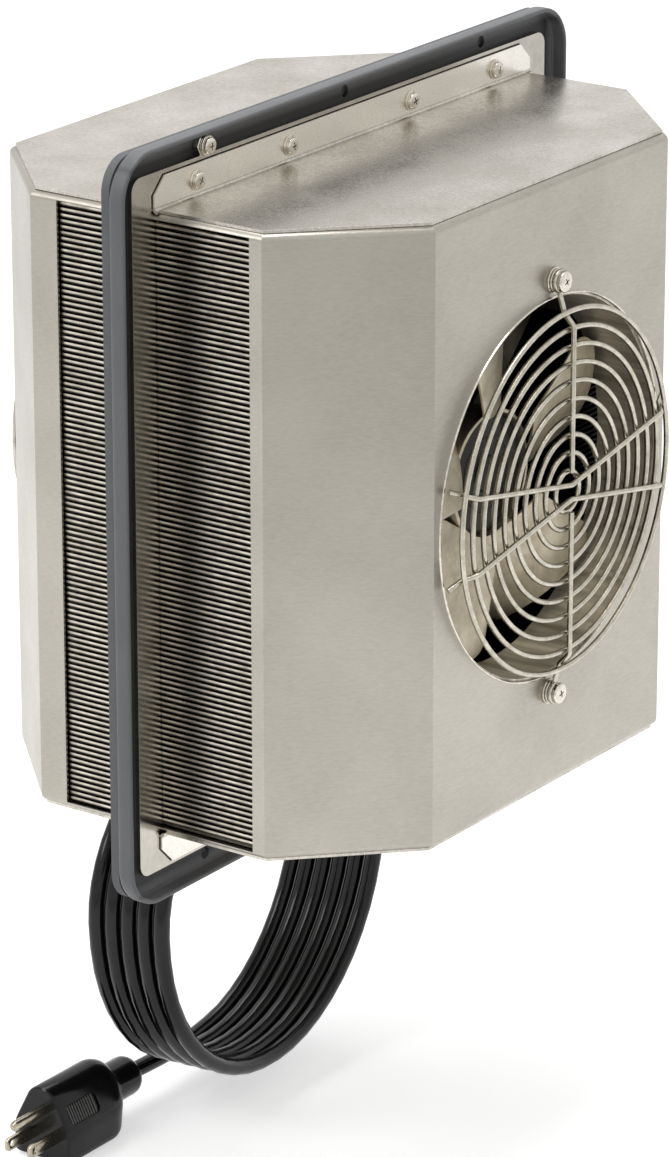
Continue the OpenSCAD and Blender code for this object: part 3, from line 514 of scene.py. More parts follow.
def softened(node: str, edge_mm: float, crease: float = 40.0, bend_mm: float = 0.0) -> bpy.types.Object:
    """Copies a node with its corners merged and its edges rounded a little, as cut sheet is.

    Args:
        node: the node to copy.
        edge_mm: the width of the rounding, or zero for none.
        crease: the angle above which an edge is rounded and stays sharp.
        bend_mm: a greater width for long upright edges, which are bends of the sheet.

    Returns:
        The copy, named for the node.
    """
    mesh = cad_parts[node].data.copy()
    whole = bmesh.new()
    whole.from_mesh(mesh)
    bmesh.ops.remove_doubles(whole, verts=whole.verts, dist=COPIED_GAP)
    bmesh.ops.dissolve_degenerate(whole, edges=whole.edges, dist=NO_EDGE)
    bmesh.ops.dissolve_limit(whole, angle_limit=math.radians(0.5), verts=whole.verts, edges=whole.edges)
    widest = max(edge_mm, bend_mm)
    if widest:
        weights = whole.edges.layers.float.new("bevel_weight_edge")
        for edge in whole.edges:
            if len(edge.link_faces) == 2 and edge.calc_face_angle(0) > math.radians(crease):
                along = edge.verts[0].co - edge.verts[1].co
                upright = abs(along.z) > 100 * MM and abs(along.z) > 0.99 * along.length
                edge[weights] = (bend_mm if upright and bend_mm else edge_mm) / widest
    whole.to_mesh(mesh)
    whole.free()
    smooth(mesh, crease)
    piece = linked(node + "_sheet", mesh)
    if widest:
        rounded(piece, widest, "WEIGHT")
        normals = piece.modifiers.new("normals", "WEIGHTED_NORMAL")
        normals.keep_sharp = False
        settle(piece)
    return piece


def sheet(node: str, finish: Finish, slot: str, edge_mm: float, crease: float = 40.0,
          bend_mm: float = 0.0) -> None:
    """Puts a softened and dressed copy in the place of a node of the still unit."""
    fit(softened(node, edge_mm, crease, bend_mm), finish, UNIT, slot, node)


def carved(shape: Shape, tool: Shape, name: str, crease: float = 35.0) -> bpy.types.Mesh:
    """Cuts one closed shape out of another and gives the mesh that is left."""
    body, cutter = linked(name, shape.mesh(name)), linked(name + "_tool", tool.mesh(name + "_tool"))
    cut = body.modifiers.new("cut", "BOOLEAN")
    cut.operation, cut.solver, cut.object = "DIFFERENCE", "EXACT", cutter
    mesh = evaluated(body)
    mesh.name = name
    for used in (body, cutter):
        bpy.data.objects.remove(used)
    if not mesh.polygons:
        raise ValueError(f"nothing is left of {name} after the cut")
    smooth(mesh, crease)
    return mesh


# Studio

@dataclass
class Studio:
    """The camera, the lamps and the white floor."""
    azimuth: float = -54.857
    elevation: float = 19.641
    roll: float = -0.05
    eye: tuple[float, float, float] = (-1.9037, -1.3366, 0.7663)
    lens: float = 173.33
    floor_size: float = 14.0
    # The floor's painted pool of light dims along these two ways.
    dim_way: tuple[float, float, float] = (-0.576, -0.817, 0.0)
    side_way: tuple[float, float, float] = (-0.819, 0.574, 0.0)
    room_light: float = 0.55
    floor_light: float = 0.55
    lamps: tuple = (("right_softbox", (1.1, 0.9, 2.7), 1.6, 22.0),
                    ("top_softbox", (-0.1, 0.0, 2.0), 0.9, 18.0),
                    ("left_softbox", (-2.2, 1.2, 2.2), 1.2, 25.0))

    def camera(self) -> None:
        """Stands the camera where the photograph was taken from."""
        a, e, r = (math.radians(v) for v in (self.azimuth, self.elevation, self.roll))
        back = Vector((math.sin(a) * math.cos(e), -math.cos(a) * math.cos(e), math.sin(e)))
        level = Vector((math.cos(a), math.sin(a), 0))
        steep = back.cross(level)
        right = math.cos(r) * level + math.sin(r) * steep
        up = math.cos(r) * steep - math.sin(r) * level
        data = bpy.data.cameras.new("photo_camera")
        data.lens, data.sensor_width, data.clip_end = self.lens, 36.0, 100.0
        camera = bpy.data.objects.new("photo_camera", data)
        camera.matrix_world = Matrix((right, up, back)).transposed().to_4x4()
        camera.location = self.eye
        bpy.context.scene.collection.objects.link(camera)
        bpy.context.scene.camera = camera

    def seen(self, tree: bpy.types.NodeTree,
             share: bpy.types.NodeSocket | None = None) -> bpy.types.NodeSocket:
        """Adds nodes that give 1 where the camera looks, and 1 or a share where a reflection does, else 0."""
        rays = add(tree, "ShaderNodeLightPath").outputs
        mirrored = calc(tree, "ADD", rays["Is Glossy Ray"], rays["Is Transmission Ray"], use_clamp=True)
        if share:
            mirrored = calc(tree, "MULTIPLY", mirrored, share)
        return calc(tree, "ADD", rays["Is Camera Ray"], mirrored, use_clamp=True)

    def world(self) -> None:
        """Makes a soft grey room that looks white."""
        world = bpy.data.worlds.new("white_room")
        world.use_nodes = True
        tree = world.node_tree
        tree.nodes.clear()
        level = ranged(tree, self.seen(tree), 0.0, 1.0, self.room_light)
        light = add(tree, "ShaderNodeBackground", {"Color": linear("ffffff"), "Strength": level})
        add(tree, "ShaderNodeOutputWorld", {"Surface": light.outputs[0]})
        bpy.context.scene.world = world

    def floor(self, height: float) -> None:
        """Lays a white floor that keeps the object's soft shadow, with a painted pool of light that
        reflections see.
        """
        half = self.floor_size / 2
        mesh = bpy.data.meshes.new("floor")
        mesh.from_pydata([(-half, -half, height), (half, -half, height), (half, half, height),
                          (-half, half, height)], [], [(0, 1, 2, 3)])
        made = bpy.data.materials.new("white_floor")
        made.use_nodes = True
        tree = made.node_tree
        tree.nodes.clear()
        paint = add(tree, "ShaderNodeBsdfDiffuse", {"Color": linear("e6e6e6")})
        place = add(tree, "ShaderNodeTexCoord").outputs["Object"]
        ahead, beside = (add(tree, "ShaderNodeVectorMath", {0: place, 1: way}, operation="DOT_PRODUCT")
                         for way in (self.dim_way, self.side_way))
        away = add(tree, "ShaderNodeVectorMath", {0: place}, operation="LENGTH")
        # Painted pool of light: in reflections the floor glows most near the object and dims ahead, outwards
        # and sideways.
        painted_light_pool = ranged(tree, ahead.outputs["Value"], 0.4, 1.25, 1.0, 0.36)
        for fall, near, far, least in ((away, 0.4, 1.6, 0.88), (beside, 0.3, 1.3, 0.84)):
            painted_light_pool = calc(tree, "MULTIPLY", painted_light_pool, ranged(tree, fall.outputs["Value"], near, far, 1.0, least))
        glow = calc(tree, "MULTIPLY", self.seen(tree, painted_light_pool), self.floor_light)
        lit = add(tree, "ShaderNodeEmission", {"Color": linear("ffffff"), "Strength": glow})
        whole = add(tree, "ShaderNodeAddShader", {0: paint.outputs[0], 1: lit.outputs[0]})
        add(tree, "ShaderNodeOutputMaterial", {"Surface": whole.outputs[0]})
        mesh.materials.append(made)
        linked("floor", mesh)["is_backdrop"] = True

    def lamp(self, name: str, place: tuple[float, float, float], size: float, watts: float) -> None:
        """Hangs a square soft lamp that is aimed at the object."""
        data = bpy.data.lights.new(name, "AREA")
        data.size, data.energy = size, watts
        lamp = bpy.data.objects.new(name, data)
        lamp.location = place
        lamp.rotation_mode = "QUATERNION"
        lamp.rotation_quaternion = Vector(place).to_track_quat("Z", "Y")
        bpy.context.scene.collection.objects.link(lamp)

    def build(self) -> None:
        """Sets up the camera, the room, the floor and the lamps."""
        self.camera()
        self.world()
        self.floor(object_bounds()[0].z - 0.1 * MM)
        for lamp in self.lamps:
            self.lamp(*lamp)
        bpy.context.scene.view_settings.view_transform = "Standard"
        LOG.info("studio: camera, room, floor and lamps")


# Cord

@dataclass
class MainsCord:
    """The black mains cord, hung in a coil below the unit, with its relief, tie and plug."""
    cord_r: float = 3.9
    exit: tuple[float, float, float] = (96.0, 53.5, -160.6)
    lead: tuple = ((96, 53.5, -167), (95.4, 52, -174), (94.2, 49.2, -182), (92.6, 46, -190), (91.6, 44, -198))
    tail: tuple = ((-20, 79, -304.4), (-30, 78.3, -304.1), (-40, 78, -303.7), (-50, 78, -303.3),
                   (-58, 78, -303))
    coil_centre: tuple[float, float, float] = (0.0, 36.0, -213.0)
    coil_r: float = 91.5
    coil_top: float = 68.0
    coil_pitch: float = 8.5
    coil_turns: float = 5.25
    coil_yaw: float = 4.5
    per_turn: int = 24
    relief_place: tuple[float, float, float] = (96.0, 53.5, -138.6)
    tie_turn: float = 2.75
    plug: tuple[float, float, float] = (-58.0, 78.0, -303.0)
    plug_l: float = 65.0
    plug_sides: int = 72
    grip_place: tuple[float, float, float] = (-49.6, 12.1, 4.4)
    grip_tilt: float = 27.0
    ribs: int = 11
    rib_pitch: float = 1.7
    rib_start: float = -9.4
    rib_depth: float = 0.4
    blade_y: float = 6.35
    blade_z: float = -6.4
    pin_z: float = 5.6

    def coil_point(self, turn: float) -> Vector:
        """A point on the coil, in millimetres. Turn 0 is at the right, and the cord goes down from there."""
        a, yaw = FULL_TURN * turn, math.radians(self.coil_yaw)
        x, y = self.coil_r * math.cos(a), self.coil_pitch * turn
        z = -math.sin(a) * (self.coil_top if math.sin(a) < 0 else self.coil_r)
        return Vector(self.coil_centre) + Vector((
            x * math.cos(yaw) - y * math.sin(yaw), x * math.sin(yaw) + y * math.cos(yaw), z))

    def route(self) -> list[Vector]:
        """The cord's centreline from its relief to its plug, in metres."""
        yaw = math.radians(self.coil_yaw)
        last = round(self.coil_turns * self.per_turn)
        loops = [self.coil_point(i / self.per_turn) for i in range(last + 1)]
        start = loops[0] + Vector((0, 0, 2 * self.cord_r))
        end = loops[-1] - 2 * self.cord_r * Vector((math.cos(yaw), math.sin(yaw), 0))
        points = [Vector(self.exit), *map(Vector, self.lead), start, *loops, end, *map(Vector, self.tail)]
        return flowing([p * MM for p in points], 2)

    def cord(self, with_pieces: list[bpy.types.Object]) -> None:
        route = self.route()
        mesh = tube(route, self.cord_r * MM, 16).mesh("mains_cord", 60)
        cord = fit(linked("mains_cord", mesh), CORD_JACKET, UNIT, "cord_black",
                   "cord_lead", "cord_coil", "cord_tail")

    def relief(self) -> bpy.types.Object:
        """The moulded relief in the bottom panel, ribbed and tapered."""
        outline = [(0, 4.3), (6.2, 4.3), (7.0, 3.6), (8.6, 1.6), (8.6, 1.3), (5.95, 1.3), (5.95, 0), (8.3, 0),
                   (8.6, -0.3), (8.6, -2.7), (8.2, -3.0)]
        for i in range(5):
            high, low = -3.0 - 3.8 * i, -6.8 - 3.8 * i
            r = 7.6 - 2.4 * i / 4.6
            outline += [(r - 0.9, high - 0.1), (r - 0.9, high - 0.7), (r - 0.2, high - 1.0), (r, high - 1.3),
                        (r - 0.4, low + 0.5), (r - 0.7, low + 0.2)]
        outline += [(4.6, -22), (0, -22)]
        shape = turned(outline, 40).moved(Matrix.Rotation(math.pi / 2, 4, "X"))
        place = Matrix.Translation(Vector(self.relief_place) * MM)
        mesh = shape.moved(place).mesh("cord_relief")
        return fit(linked("cord_relief", mesh), PLUG_PLASTIC, UNIT, "plug_black", "strain_relief")

    def tie(self) -> bpy.types.Object:
        """The flat tie round the passes at the top of the coil, with its head."""
        half = 2 * self.coil_pitch
        inner, thick, width = self.cord_r + 0.3, 1.2, 4.6
        def oval(r: float) -> list[tuple[float, float]]:
            """Half circles of a radius round the two outer passes."""
            return [(side * half + r * math.sin(a) * side, r * math.cos(a) * side) for side in (1, -1)
                    for a in (math.pi * k / 12 for k in range(13))]
        yaw = math.radians(self.coil_yaw)
        rings = [[Vector((x, y, z)) * MM for x, (y, z) in corner] for corner in zip(*[
            [(sign * (width / 2 - drop), p) for p in oval(r)] for sign, drop, r in (
                (-1, 0, inner), (-1, 0, inner + thick - 0.3), (-1, 0.3, inner + thick),
                (1, 0.3, inner + thick), (1, 0, inner + thick - 0.3), (1, 0, inner))])]
        strap = lofted([*rings, rings[0]], capped=False)
        head = bar((6.4, 4.2, 5.6), (0, half + inner + 1.9, 2.0))
        place = Vector(self.coil_centre) + self.coil_pitch * self.tie_turn * Vector(
            (-math.sin(yaw), math.cos(yaw), 0))
        place.z += self.coil_top
        turn = Matrix.Translation(place * MM) @ Matrix.Rotation(yaw, 4, "Z")
        piece = linked("coil_tie", strap.joined(head).moved(turn).mesh("coil_tie"))
        return fit(piece, BLOCK_NYLON, UNIT, "block_plastic", "cord_tie")

    def outline(self, inset: float = 0.0) -> list[tuple[float, float]]:
        """The plug's section, seen along X: flat below, upright sides, drawn in to a round top."""
        half, low, top, r = 15.6 - inset, 17.6 - inset, 8.4, 9.0 - inset
        corner, knee = 2.5, -3.0
        points = arc(half - corner, corner - low, corner, -90, 0, 10)
        points += [(half, knee - 3), (half - 0.1, knee - 1), (half - 0.5, knee + 1), (half - 1.3, knee + 3)]
        points += arc(0, top, r, 20, 90, 5)
        points += [(-x, z) for x, z in reversed(points[:-1])]
        line = [Vector(p) for p in [*points, points[0]]]
        walked = [0.0]
        for p, q in zip(line, line[1:]):
            walked.append(walked[-1] + (q - p).length)
        evenly = []
        for i in range(self.plug_sides):
            goal = walked[-1] * i / self.plug_sides
            j = max(k for k, far in enumerate(walked) if far <= goal)
            evenly.append(tuple(line[j].lerp(line[j + 1], (goal - walked[j]) / (walked[j + 1] - walked[j]))))
        return evenly

    def plug_body(self) -> bpy.types.Object:
        """The moulded plug: a round boss that swells into the body, with a pocket for a ribbed grip on each
        side.
        """
        section, boss, shoulder, swell, steps = self.outline(), 9.5, -19, 12, 10
        body = [[Vector((x, *(r * v for v in Vector(p).normalized()))) * MM for p in section] for x, r in (
            (0, 6.0), (-0.3, 7.3), (-1.1, 8.5), (-2.4, 9.2), (-4.5, boss), (-16.5, boss), (-18.5, 9.7))]
        for i in range(1, steps + 1):
            a = math.pi / 2 * i / steps
            body.append([Vector((shoulder - swell * (1 - math.cos(a)), *(
                (1 - math.sin(a)) * boss * Vector(p).normalized() + math.sin(a) * Vector(p)))) * MM
                for p in section])
        for x, inset in ((-48, 0), (-63.6, 0), (-64.5, 0.25), (-self.plug_l, 0.9)):
            body.append([Vector((x, *p)) * MM for p in self.outline(inset)])
        long, high, bend = 11.2, 5.0, 2.6
        rim = [p for sx, sz, start in ((1, 1, 0), (-1, 1, 90), (-1, -1, 180), (1, -1, 270))
               for p in arc(sx * (long - bend), sz * (high - bend), bend, start, start + 90, 15)]
        pocket = stacked(rim, (-0.9, 0.93), (2.5, 1.0))
        pockets = Shape().joined(*[pocket.moved(place) for place in self.grips()])
        mesh = carved(lofted(body), pockets, "plug_body", 30)
        mesh.transform(Matrix.Translation(Vector(self.plug) * MM))
        return fit(linked("plug_body_moulding", mesh), PLUG_PLASTIC, UNIT, "plug_black", "plug_body")

    def grips(self) -> list[Matrix]:
        """Where the two grips are on the plug: a frame each, whose Y points out of the sloping side."""
        x, y, z = self.grip_place
        return [Matrix.Translation(Vector((x, side * y, z)) * MM) @ Matrix.Diagonal((1, side, 1, 1))
                @ Matrix.Rotation(math.radians(self.grip_tilt), 4, "X") for side in (-1, 1)]

    def grip(self) -> bpy.types.Object:
        """The ribs in the plug's two grips."""
        rib = turned([(0, -4.5), (0.3, -4.4), (0.5, -4.1), (0.5, 4.1), (0.3, 4.4), (0, 4.5)], 8)
        rib = rib.moved(Matrix.Rotation(math.pi / 2, 4, "X"))
        origin = Matrix.Translation(Vector(self.plug) * MM)
        steps = [Matrix.Translation(((self.rib_start + self.rib_pitch * i) * MM, -self.rib_depth * MM, 0))
                 for i in range(self.ribs)]
        ribs = Shape().joined(*[rib.moved(origin @ place @ step) for place in self.grips() for step in steps])
        return fit(linked("plug_grip_ribs", ribs.mesh("plug_grip_ribs")), GRIP_PLASTIC, UNIT, "plug_black")

    def blades(self) -> bpy.types.Object:
        """The plug's two flat blades, each with its hole and drawn-in tip."""
        half, thick, hole_x = 3.175, 1.5, 13.5
        rim = [(0, -half), (-15.6, -half), (-16.8, -2.7), (-17.5, -1.7), (-17.5, 1.7), (-16.8, 2.7),
               (-15.6, half), (0, half)]
        blade = stacked(rim, (-thick / 2, 1), (thick / 2, 1))
        hole = turned([(0, -2), (1.6, -2), (1.6, 2), (0, 2)], 24)
        both, holes = Shape(), Shape()
        for side in (-1, 1):
            place = Vector(self.plug) + Vector((-self.plug_l, side * self.blade_y, self.blade_z))
            both = both.joined(blade.moved(Matrix.Translation(place * MM)))
            holes = holes.joined(hole.moved(Matrix.Translation((place - Vector((hole_x, 0, 0))) * MM)))
        piece = linked("plug_blade_pair", carved(both, holes, "plug_blade_pair"))
        rounded(piece, 0.22)
        settle(piece)
        smooth(piece.data, 40)
        return fit(piece, PIN_NICKEL, UNIT, "nickel", "plug_blades")

    def ground_pin(self) -> bpy.types.Object:
        """The round ground pin, folded from sheet: a seam runs along its top and over its nose."""
        r, straight = 2.4, 18.6
        pin = turned([(0, 0), (r, 0), *arc(0, straight, r, 0, 90, 10)], 32)
        seam = bar((0.35, 18.0, 1.4), (0, 13.5, 2.3))
        mesh = carved(pin, seam, "plug_ground_prong")
        face = Vector(self.plug) + Vector((-self.plug_l, 0, self.pin_z))
        mesh.transform(Matrix.Translation(face * MM) @ Matrix.Rotation(math.pi / 2, 4, "Z"))
        return fit(linked("plug_ground_prong", mesh), PIN_NICKEL, UNIT, "nickel", "plug_ground_pin")

    def build(self) -> None:
        """Makes the cord and all that is on it."""
        pieces = [self.tie(), self.plug_body(), self.grip(), self.blades(), self.ground_pin()]
        self.relief()
        self.cord(pieces)


# Housings and flange

@dataclass
class Housing:
    """One stainless housing: the wrapped sheet and its two lids."""
    side: Side
    tab_x: float = 140.65
    tab_z: tuple[float, float, float] = (139.5, 145.0, 152.5)
    seam_r: float = 0.24
    bend: float = 1.8
    edge: float = 0.3
    lid_edge: float = 0.15
    burr: tuple[float, float] = (85.35, 0.55)

    def seams(self) -> None:
        """A painted shadow line round each tab, where it lies on the plate."""
        low, knee, high = self.tab_z
        cut, x = high - knee, self.tab_x + self.seam_r / 2
        top = high + self.seam_r / 2
        corners = [(-x, low), (-x, knee), (cut - x, top), (x - cut, top), (x, knee), (x, low)]
        lines = Shape().joined(*[tube([Vector((px, -0.1, up * pz)) * MM for px, pz in corners],
                                      self.seam_r * MM, 6) for up in (1, -1)])
        name = f"{self.side.value}_tab_seams"
        fit(linked(name, lines.moved(self.side.matrix()).mesh(name)), SEAM_SHADOW, UNIT, "inner_steel")

    def build(self) -> None:
        """Dresses the wrap and the lids, with a bright burr round the opening."""
        name = self.side.value
        sheet(f"{name}_shroud", BRUSHED_WRAP, "housing_steel", self.edge, 30, self.bend)
        middle_r, burr_r = self.burr
        bead = turned(arc(middle_r, FACE, burr_r, 0, 315, 45), 128, closed=True)
        fit(linked(f"{name}_opening_edge", bead.moved(self.side.matrix()).mesh("opening_edge")),
            POLISHED_SCREW, UNIT, "housing_steel")
        self.seams()
        for lid in ("top", "bottom"):
            sheet(f"{name}_{lid}_panel", BRUSHED_LID, "panel_steel", self.lid_edge, 30)


@dataclass
class Mounting:
    """The flange, the plates on its two sides, the ring and the gasket."""
    edge: float = 0.35

    def build(self) -> None:
        """Dresses the stack."""
        sheet("flange_frame", POWDER_COAT, "flange_paint", 0.0, 50)
        for node in ("front_plate", "rear_plate"):
            sheet(node, BRIGHT_PLATE, "plate_steel", self.edge)
        sheet("core_collar", PLAIN_SHEET, "inner_steel", self.edge)
        sheet("gasket", FOAM, "gasket_foam", 0.3)


@dataclass
class Core:
    """The folded fin core with its end plates, and its seals, which reach the windows' edges."""
    front_end: float = -50.0
    rear_end: float = 43.0
    lap: float = 2.4

    def build(self) -> None:
        """Dresses the core."""
        dress("fin_core", FIN_FOIL)
        dress("core_end_plates", PLAIN_SHEET)
        for node in ("core_seal_left", "core_seal_right"):
            comb = softened(node, 0.0)
            for vertex in comb.data.vertices:
                if vertex.co.y < self.front_end * MM:
                    vertex.co.y -= self.lap * MM
                elif vertex.co.y > self.rear_end * MM:
                    vertex.co.y += self.lap * MM
            fit(comb, SEAL_FOIL, UNIT, "core_foil", node)


# Screws

@dataclass(frozen=True)
class PanScrew:
    """A pan head screw with a cross recess. Its seat is at y = 0, and it faces -Y."""
    head_r: float
    head_h: float
    shank_l: float
    shank_r: float = 2.05
    steps: int = 32
    dome: float = 0.25
    bend: float = 0.9
    rim: float = 0.15

    def shape(self) -> Shape:
        """The head and shank, turned."""
        r, h, b = self.head_r, self.head_h, self.bend
        crown = [(r * s, -h - self.dome * (1 - s * s)) for s in (0, 0.3, 0.55)]
        return turned([*crown, *arc(r - b, b - h, b, -90, 0, 15), (r, -self.rim), (r - self.rim, 0),
                       (self.shank_r, 0), (self.shank_r, self.shank_l), (0, self.shank_l)], self.steps)

    def recess(self) -> Shape:
        """A tapered cross to cut out of the head, closed and in one, as the boolean needs it."""
        h, long, half = self.head_h, 1.8, 0.34
        cross = [(-long, half), (-half, half), (-half, long), (half, long), (half, half), (long, half),
                 (long, -half), (half, -half), (half, -long), (-half, -long), (-half, -half), (-long, -half)]
        return stacked(cross, (-h - 1, 1.1), (-h + 0.9, 0.75))

    def mesh(self, name: str, ahead: float) -> bpy.types.Mesh:
        """The screw as a mesh, with its seat some millimetres ahead of y = 0."""
        mesh = carved(self.shape(), self.recess(), name)
        mesh.transform(Matrix.Translation((0, -ahead * MM, 0)))
        return mesh


def ring(inner: float, outer: float, thick: float, place: float = 0.0, steps: int = 32) -> Shape:
    """A washer with rounded edges. Its front face is a thickness ahead of its place on Y."""
    e = min(0.2, thick / 3)
    return turned([(inner, place), (outer - e, place), (outer, place - e), (outer, place - thick + e),
                   (outer - e, place - thick), (inner + e, place - thick), (inner, place - thick + e)],
                  steps, closed=True)


def new_group(name: str, sockets: dict[str, str], result: str) -> bpy.types.NodeTree:
    """Starts a Geometry Nodes tree.

    Args:
        name: the tree's name.
        sockets: each input's name and kind.
        result: the name of the geometry that it gives.

    Returns:
        The tree, without nodes.
    """
    tree = bpy.data.node_groups.new(name, "GeometryNodeTree")
    for socket, kind in sockets.items():
        tree.interface.new_socket(socket, in_out="INPUT", socket_type=f"NodeSocket{kind}")
    tree.interface.new_socket(result, in_out="OUTPUT", socket_type="NodeSocketGeometry")
    return tree


def close_group(tree: bpy.types.NodeTree, geometry: bpy.types.NodeSocket, finish: bpy.types.NodeSocket,
                result: str) -> bpy.types.NodeTree:
    """Ends a tree: its instances are made real and get their material."""
    real = add(tree, "GeometryNodeRealizeInstances", {"Geometry": geometry})
    done = add(tree, "GeometryNodeSetMaterial", {"Geometry": real.outputs[0], "Material": finish})
    add(tree, "NodeGroupOutput", {result: done.outputs[0]})
    return tree


def grow(piece: bpy.types.Object, tree: bpy.types.NodeTree, side: Side, crease: float, values: dict) -> None:
    """Runs a tree on a piece and moves what it makes to a housing.

    Args:
        piece: the object that holds the points or lines.
        tree: the Geometry Nodes tree.
        side: the housing.
        crease: the angle above which an edge stays sharp, in degrees.
        values: the tree's inputs by name.
    """
    nodes = piece.modifiers.new(tree.name, "NODES")
    nodes.node_group = tree
    for item in tree.interface.items_tree:
        if item.in_out == "INPUT" and item.name in values:
            nodes[item.identifier] = values[item.name]
    settle(piece)
    piece.data.transform(side.matrix())
    if side is Side.REAR:
        piece.data.flip_normals()
    smooth(piece.data, crease)


def screw_row_tree() -> bpy.types.NodeTree:
    """Builds the tree that stands a fastener on each point, each turned by chance about Y.

    Returns:
        A tree with inputs Points, Fastener, Turn, Seed and Finish.
    """
    tree = bpy.data.node_groups.get("screw_row")
    if tree:
        return tree
    tree = new_group("screw_row", {"Points": "Geometry", "Fastener": "Object", "Turn": "Float", "Seed": "Int",
                                   "Finish": "Material"}, "Row")
    given = add(tree, "NodeGroupInput").outputs
    chance = add(tree, "FunctionNodeRandomValue", {"Seed": given["Seed"]}, data_type="FLOAT")
    spin = add(tree, "ShaderNodeCombineXYZ", {"Y": calc(tree, "MULTIPLY", chance.outputs[1], given["Turn"])})
    one = add(tree, "GeometryNodeObjectInfo", {"Object": given["Fastener"]})
    row = add(tree, "GeometryNodeInstanceOnPoints", {
        "Points": given["Points"], "Instance": one.outputs["Geometry"], "Rotation": spin.outputs[0]})
    return close_group(tree, row.outputs[0], given["Finish"], "Row")


@dataclass
class ScrewRow:
    """The same fastener at several places on one housing."""
    name: str
    side: Side
    places: list[tuple[float, float, float]]
    fastener: bpy.types.Mesh
    seed: int

    def build(self, finish: Finish, slot: str, *replaced: str) -> bpy.types.Object:
        """Stands the fasteners on their places, as one piece."""
        points = bpy.data.meshes.new(self.name)
        points.from_pydata([Vector(p) * MM for p in self.places], [], [])
        piece, model = linked(self.name, points), linked(self.name + "_model", self.fastener)
        grow(piece, screw_row_tree(), self.side, 35, {
            "Fastener": model, "Turn": FULL_TURN / 4, "Seed": self.seed, "Finish": finish.material()})
        bpy.data.objects.remove(model)
        return fit(piece, finish, UNIT, slot, *replaced)


@dataclass
class Fasteners:
    """All the screws of the unit."""
    tab_xs: tuple[float, ...] = (-111.957, -45.5, 45.5, 111.957)
    tab_z: float = 145.55
    panel_t: float = 1.3
    hole_r: float = 2.2
    ground_place: tuple[float, float, float] = (-105.5, -2.0, 159.0)

    def tab_screws(self, side: Side, seed: int) -> None:
        """The screws that hold the lids' tabs to a plate, each on a washer."""
        screw = PanScrew(head_r=3.7, head_h=1.9, shank_l=5.4).mesh("tab_screw", ahead=0.8)
        merged(screw, ring(self.hole_r, 4.4, thick=0.9).mesh("tab_washer"))
        places = [(x, -self.panel_t, z * self.tab_z) for x in self.tab_xs for z in (-1, 1)]
        ScrewRow(f"{side.value}_tab_screw_row", side, places, screw, seed).build(
            POLISHED_SCREW, "screw_steel", f"{side.value}_tab_screws")

    def guard_screws(self, side: Side, seed: int) -> None:
        """The two screws that hold a guard by its eyes, each with a wide washer behind."""
        screw = PanScrew(head_r=4.7, head_h=2.1, shank_l=12.0).mesh("guard_screw", ahead=EYE_STAND + WIRE_R)
        stack = ring(self.hole_r, 5.75, thick=0.9).joined(ring(self.hole_r, 5.2, thick=1.0, place=-1.0))
        merged(screw, stack.mesh("guard_washers"))
        places = [(0, FACE, z * EYE_Z) for z in (-1, 1)]
        ScrewRow(f"{side.value}_guard_screw_pair", side, places, screw, seed).build(
            POLISHED_SCREW, "screw_steel", f"{side.value}_guard_screws")

    def ground_screw(self) -> None:
        """The ground screw in the flange: nut, split washer, flat washer and head."""
        screw = PanScrew(head_r=3.7, head_h=1.7, shank_l=9.0).mesh("ground_screw_stack", ahead=5.15)
        nut = stacked(arc(0, 0, 4.9, 0, 300, 60), (0, 0.94), (-0.3, 1), (-2.9, 1), (-3.2, 0.94))
        gap = bar((0.7, 3.0, 3.0), (3.2, -3.6, 0)).moved(Matrix.Rotation(0.4, 4, "Y"))
        split = carved(ring(self.hole_r, 4.1, thick=0.8, place=-3.2), gap, "split_washer")
        flat = ring(self.hole_r, 4.5, thick=0.8, place=-4.35)
        mesh = merged(screw, nut.mesh("ground_nut"), split, flat.mesh("flat_washer"))
        mesh.transform(Matrix.Translation(Vector(self.ground_place) * MM))
        smooth(mesh, 35)
        fit(linked("ground_screw_stack", mesh), POLISHED_SCREW, UNIT, "nickel", "ground_screw")

    def build(self) -> None:
        """Makes every screw."""
        for seed, side in enumerate(Side):
            self.tab_screws(side, 11 + seed)
            self.guard_screws(side, 21 + seed)
        self.ground_screw()


# Guards

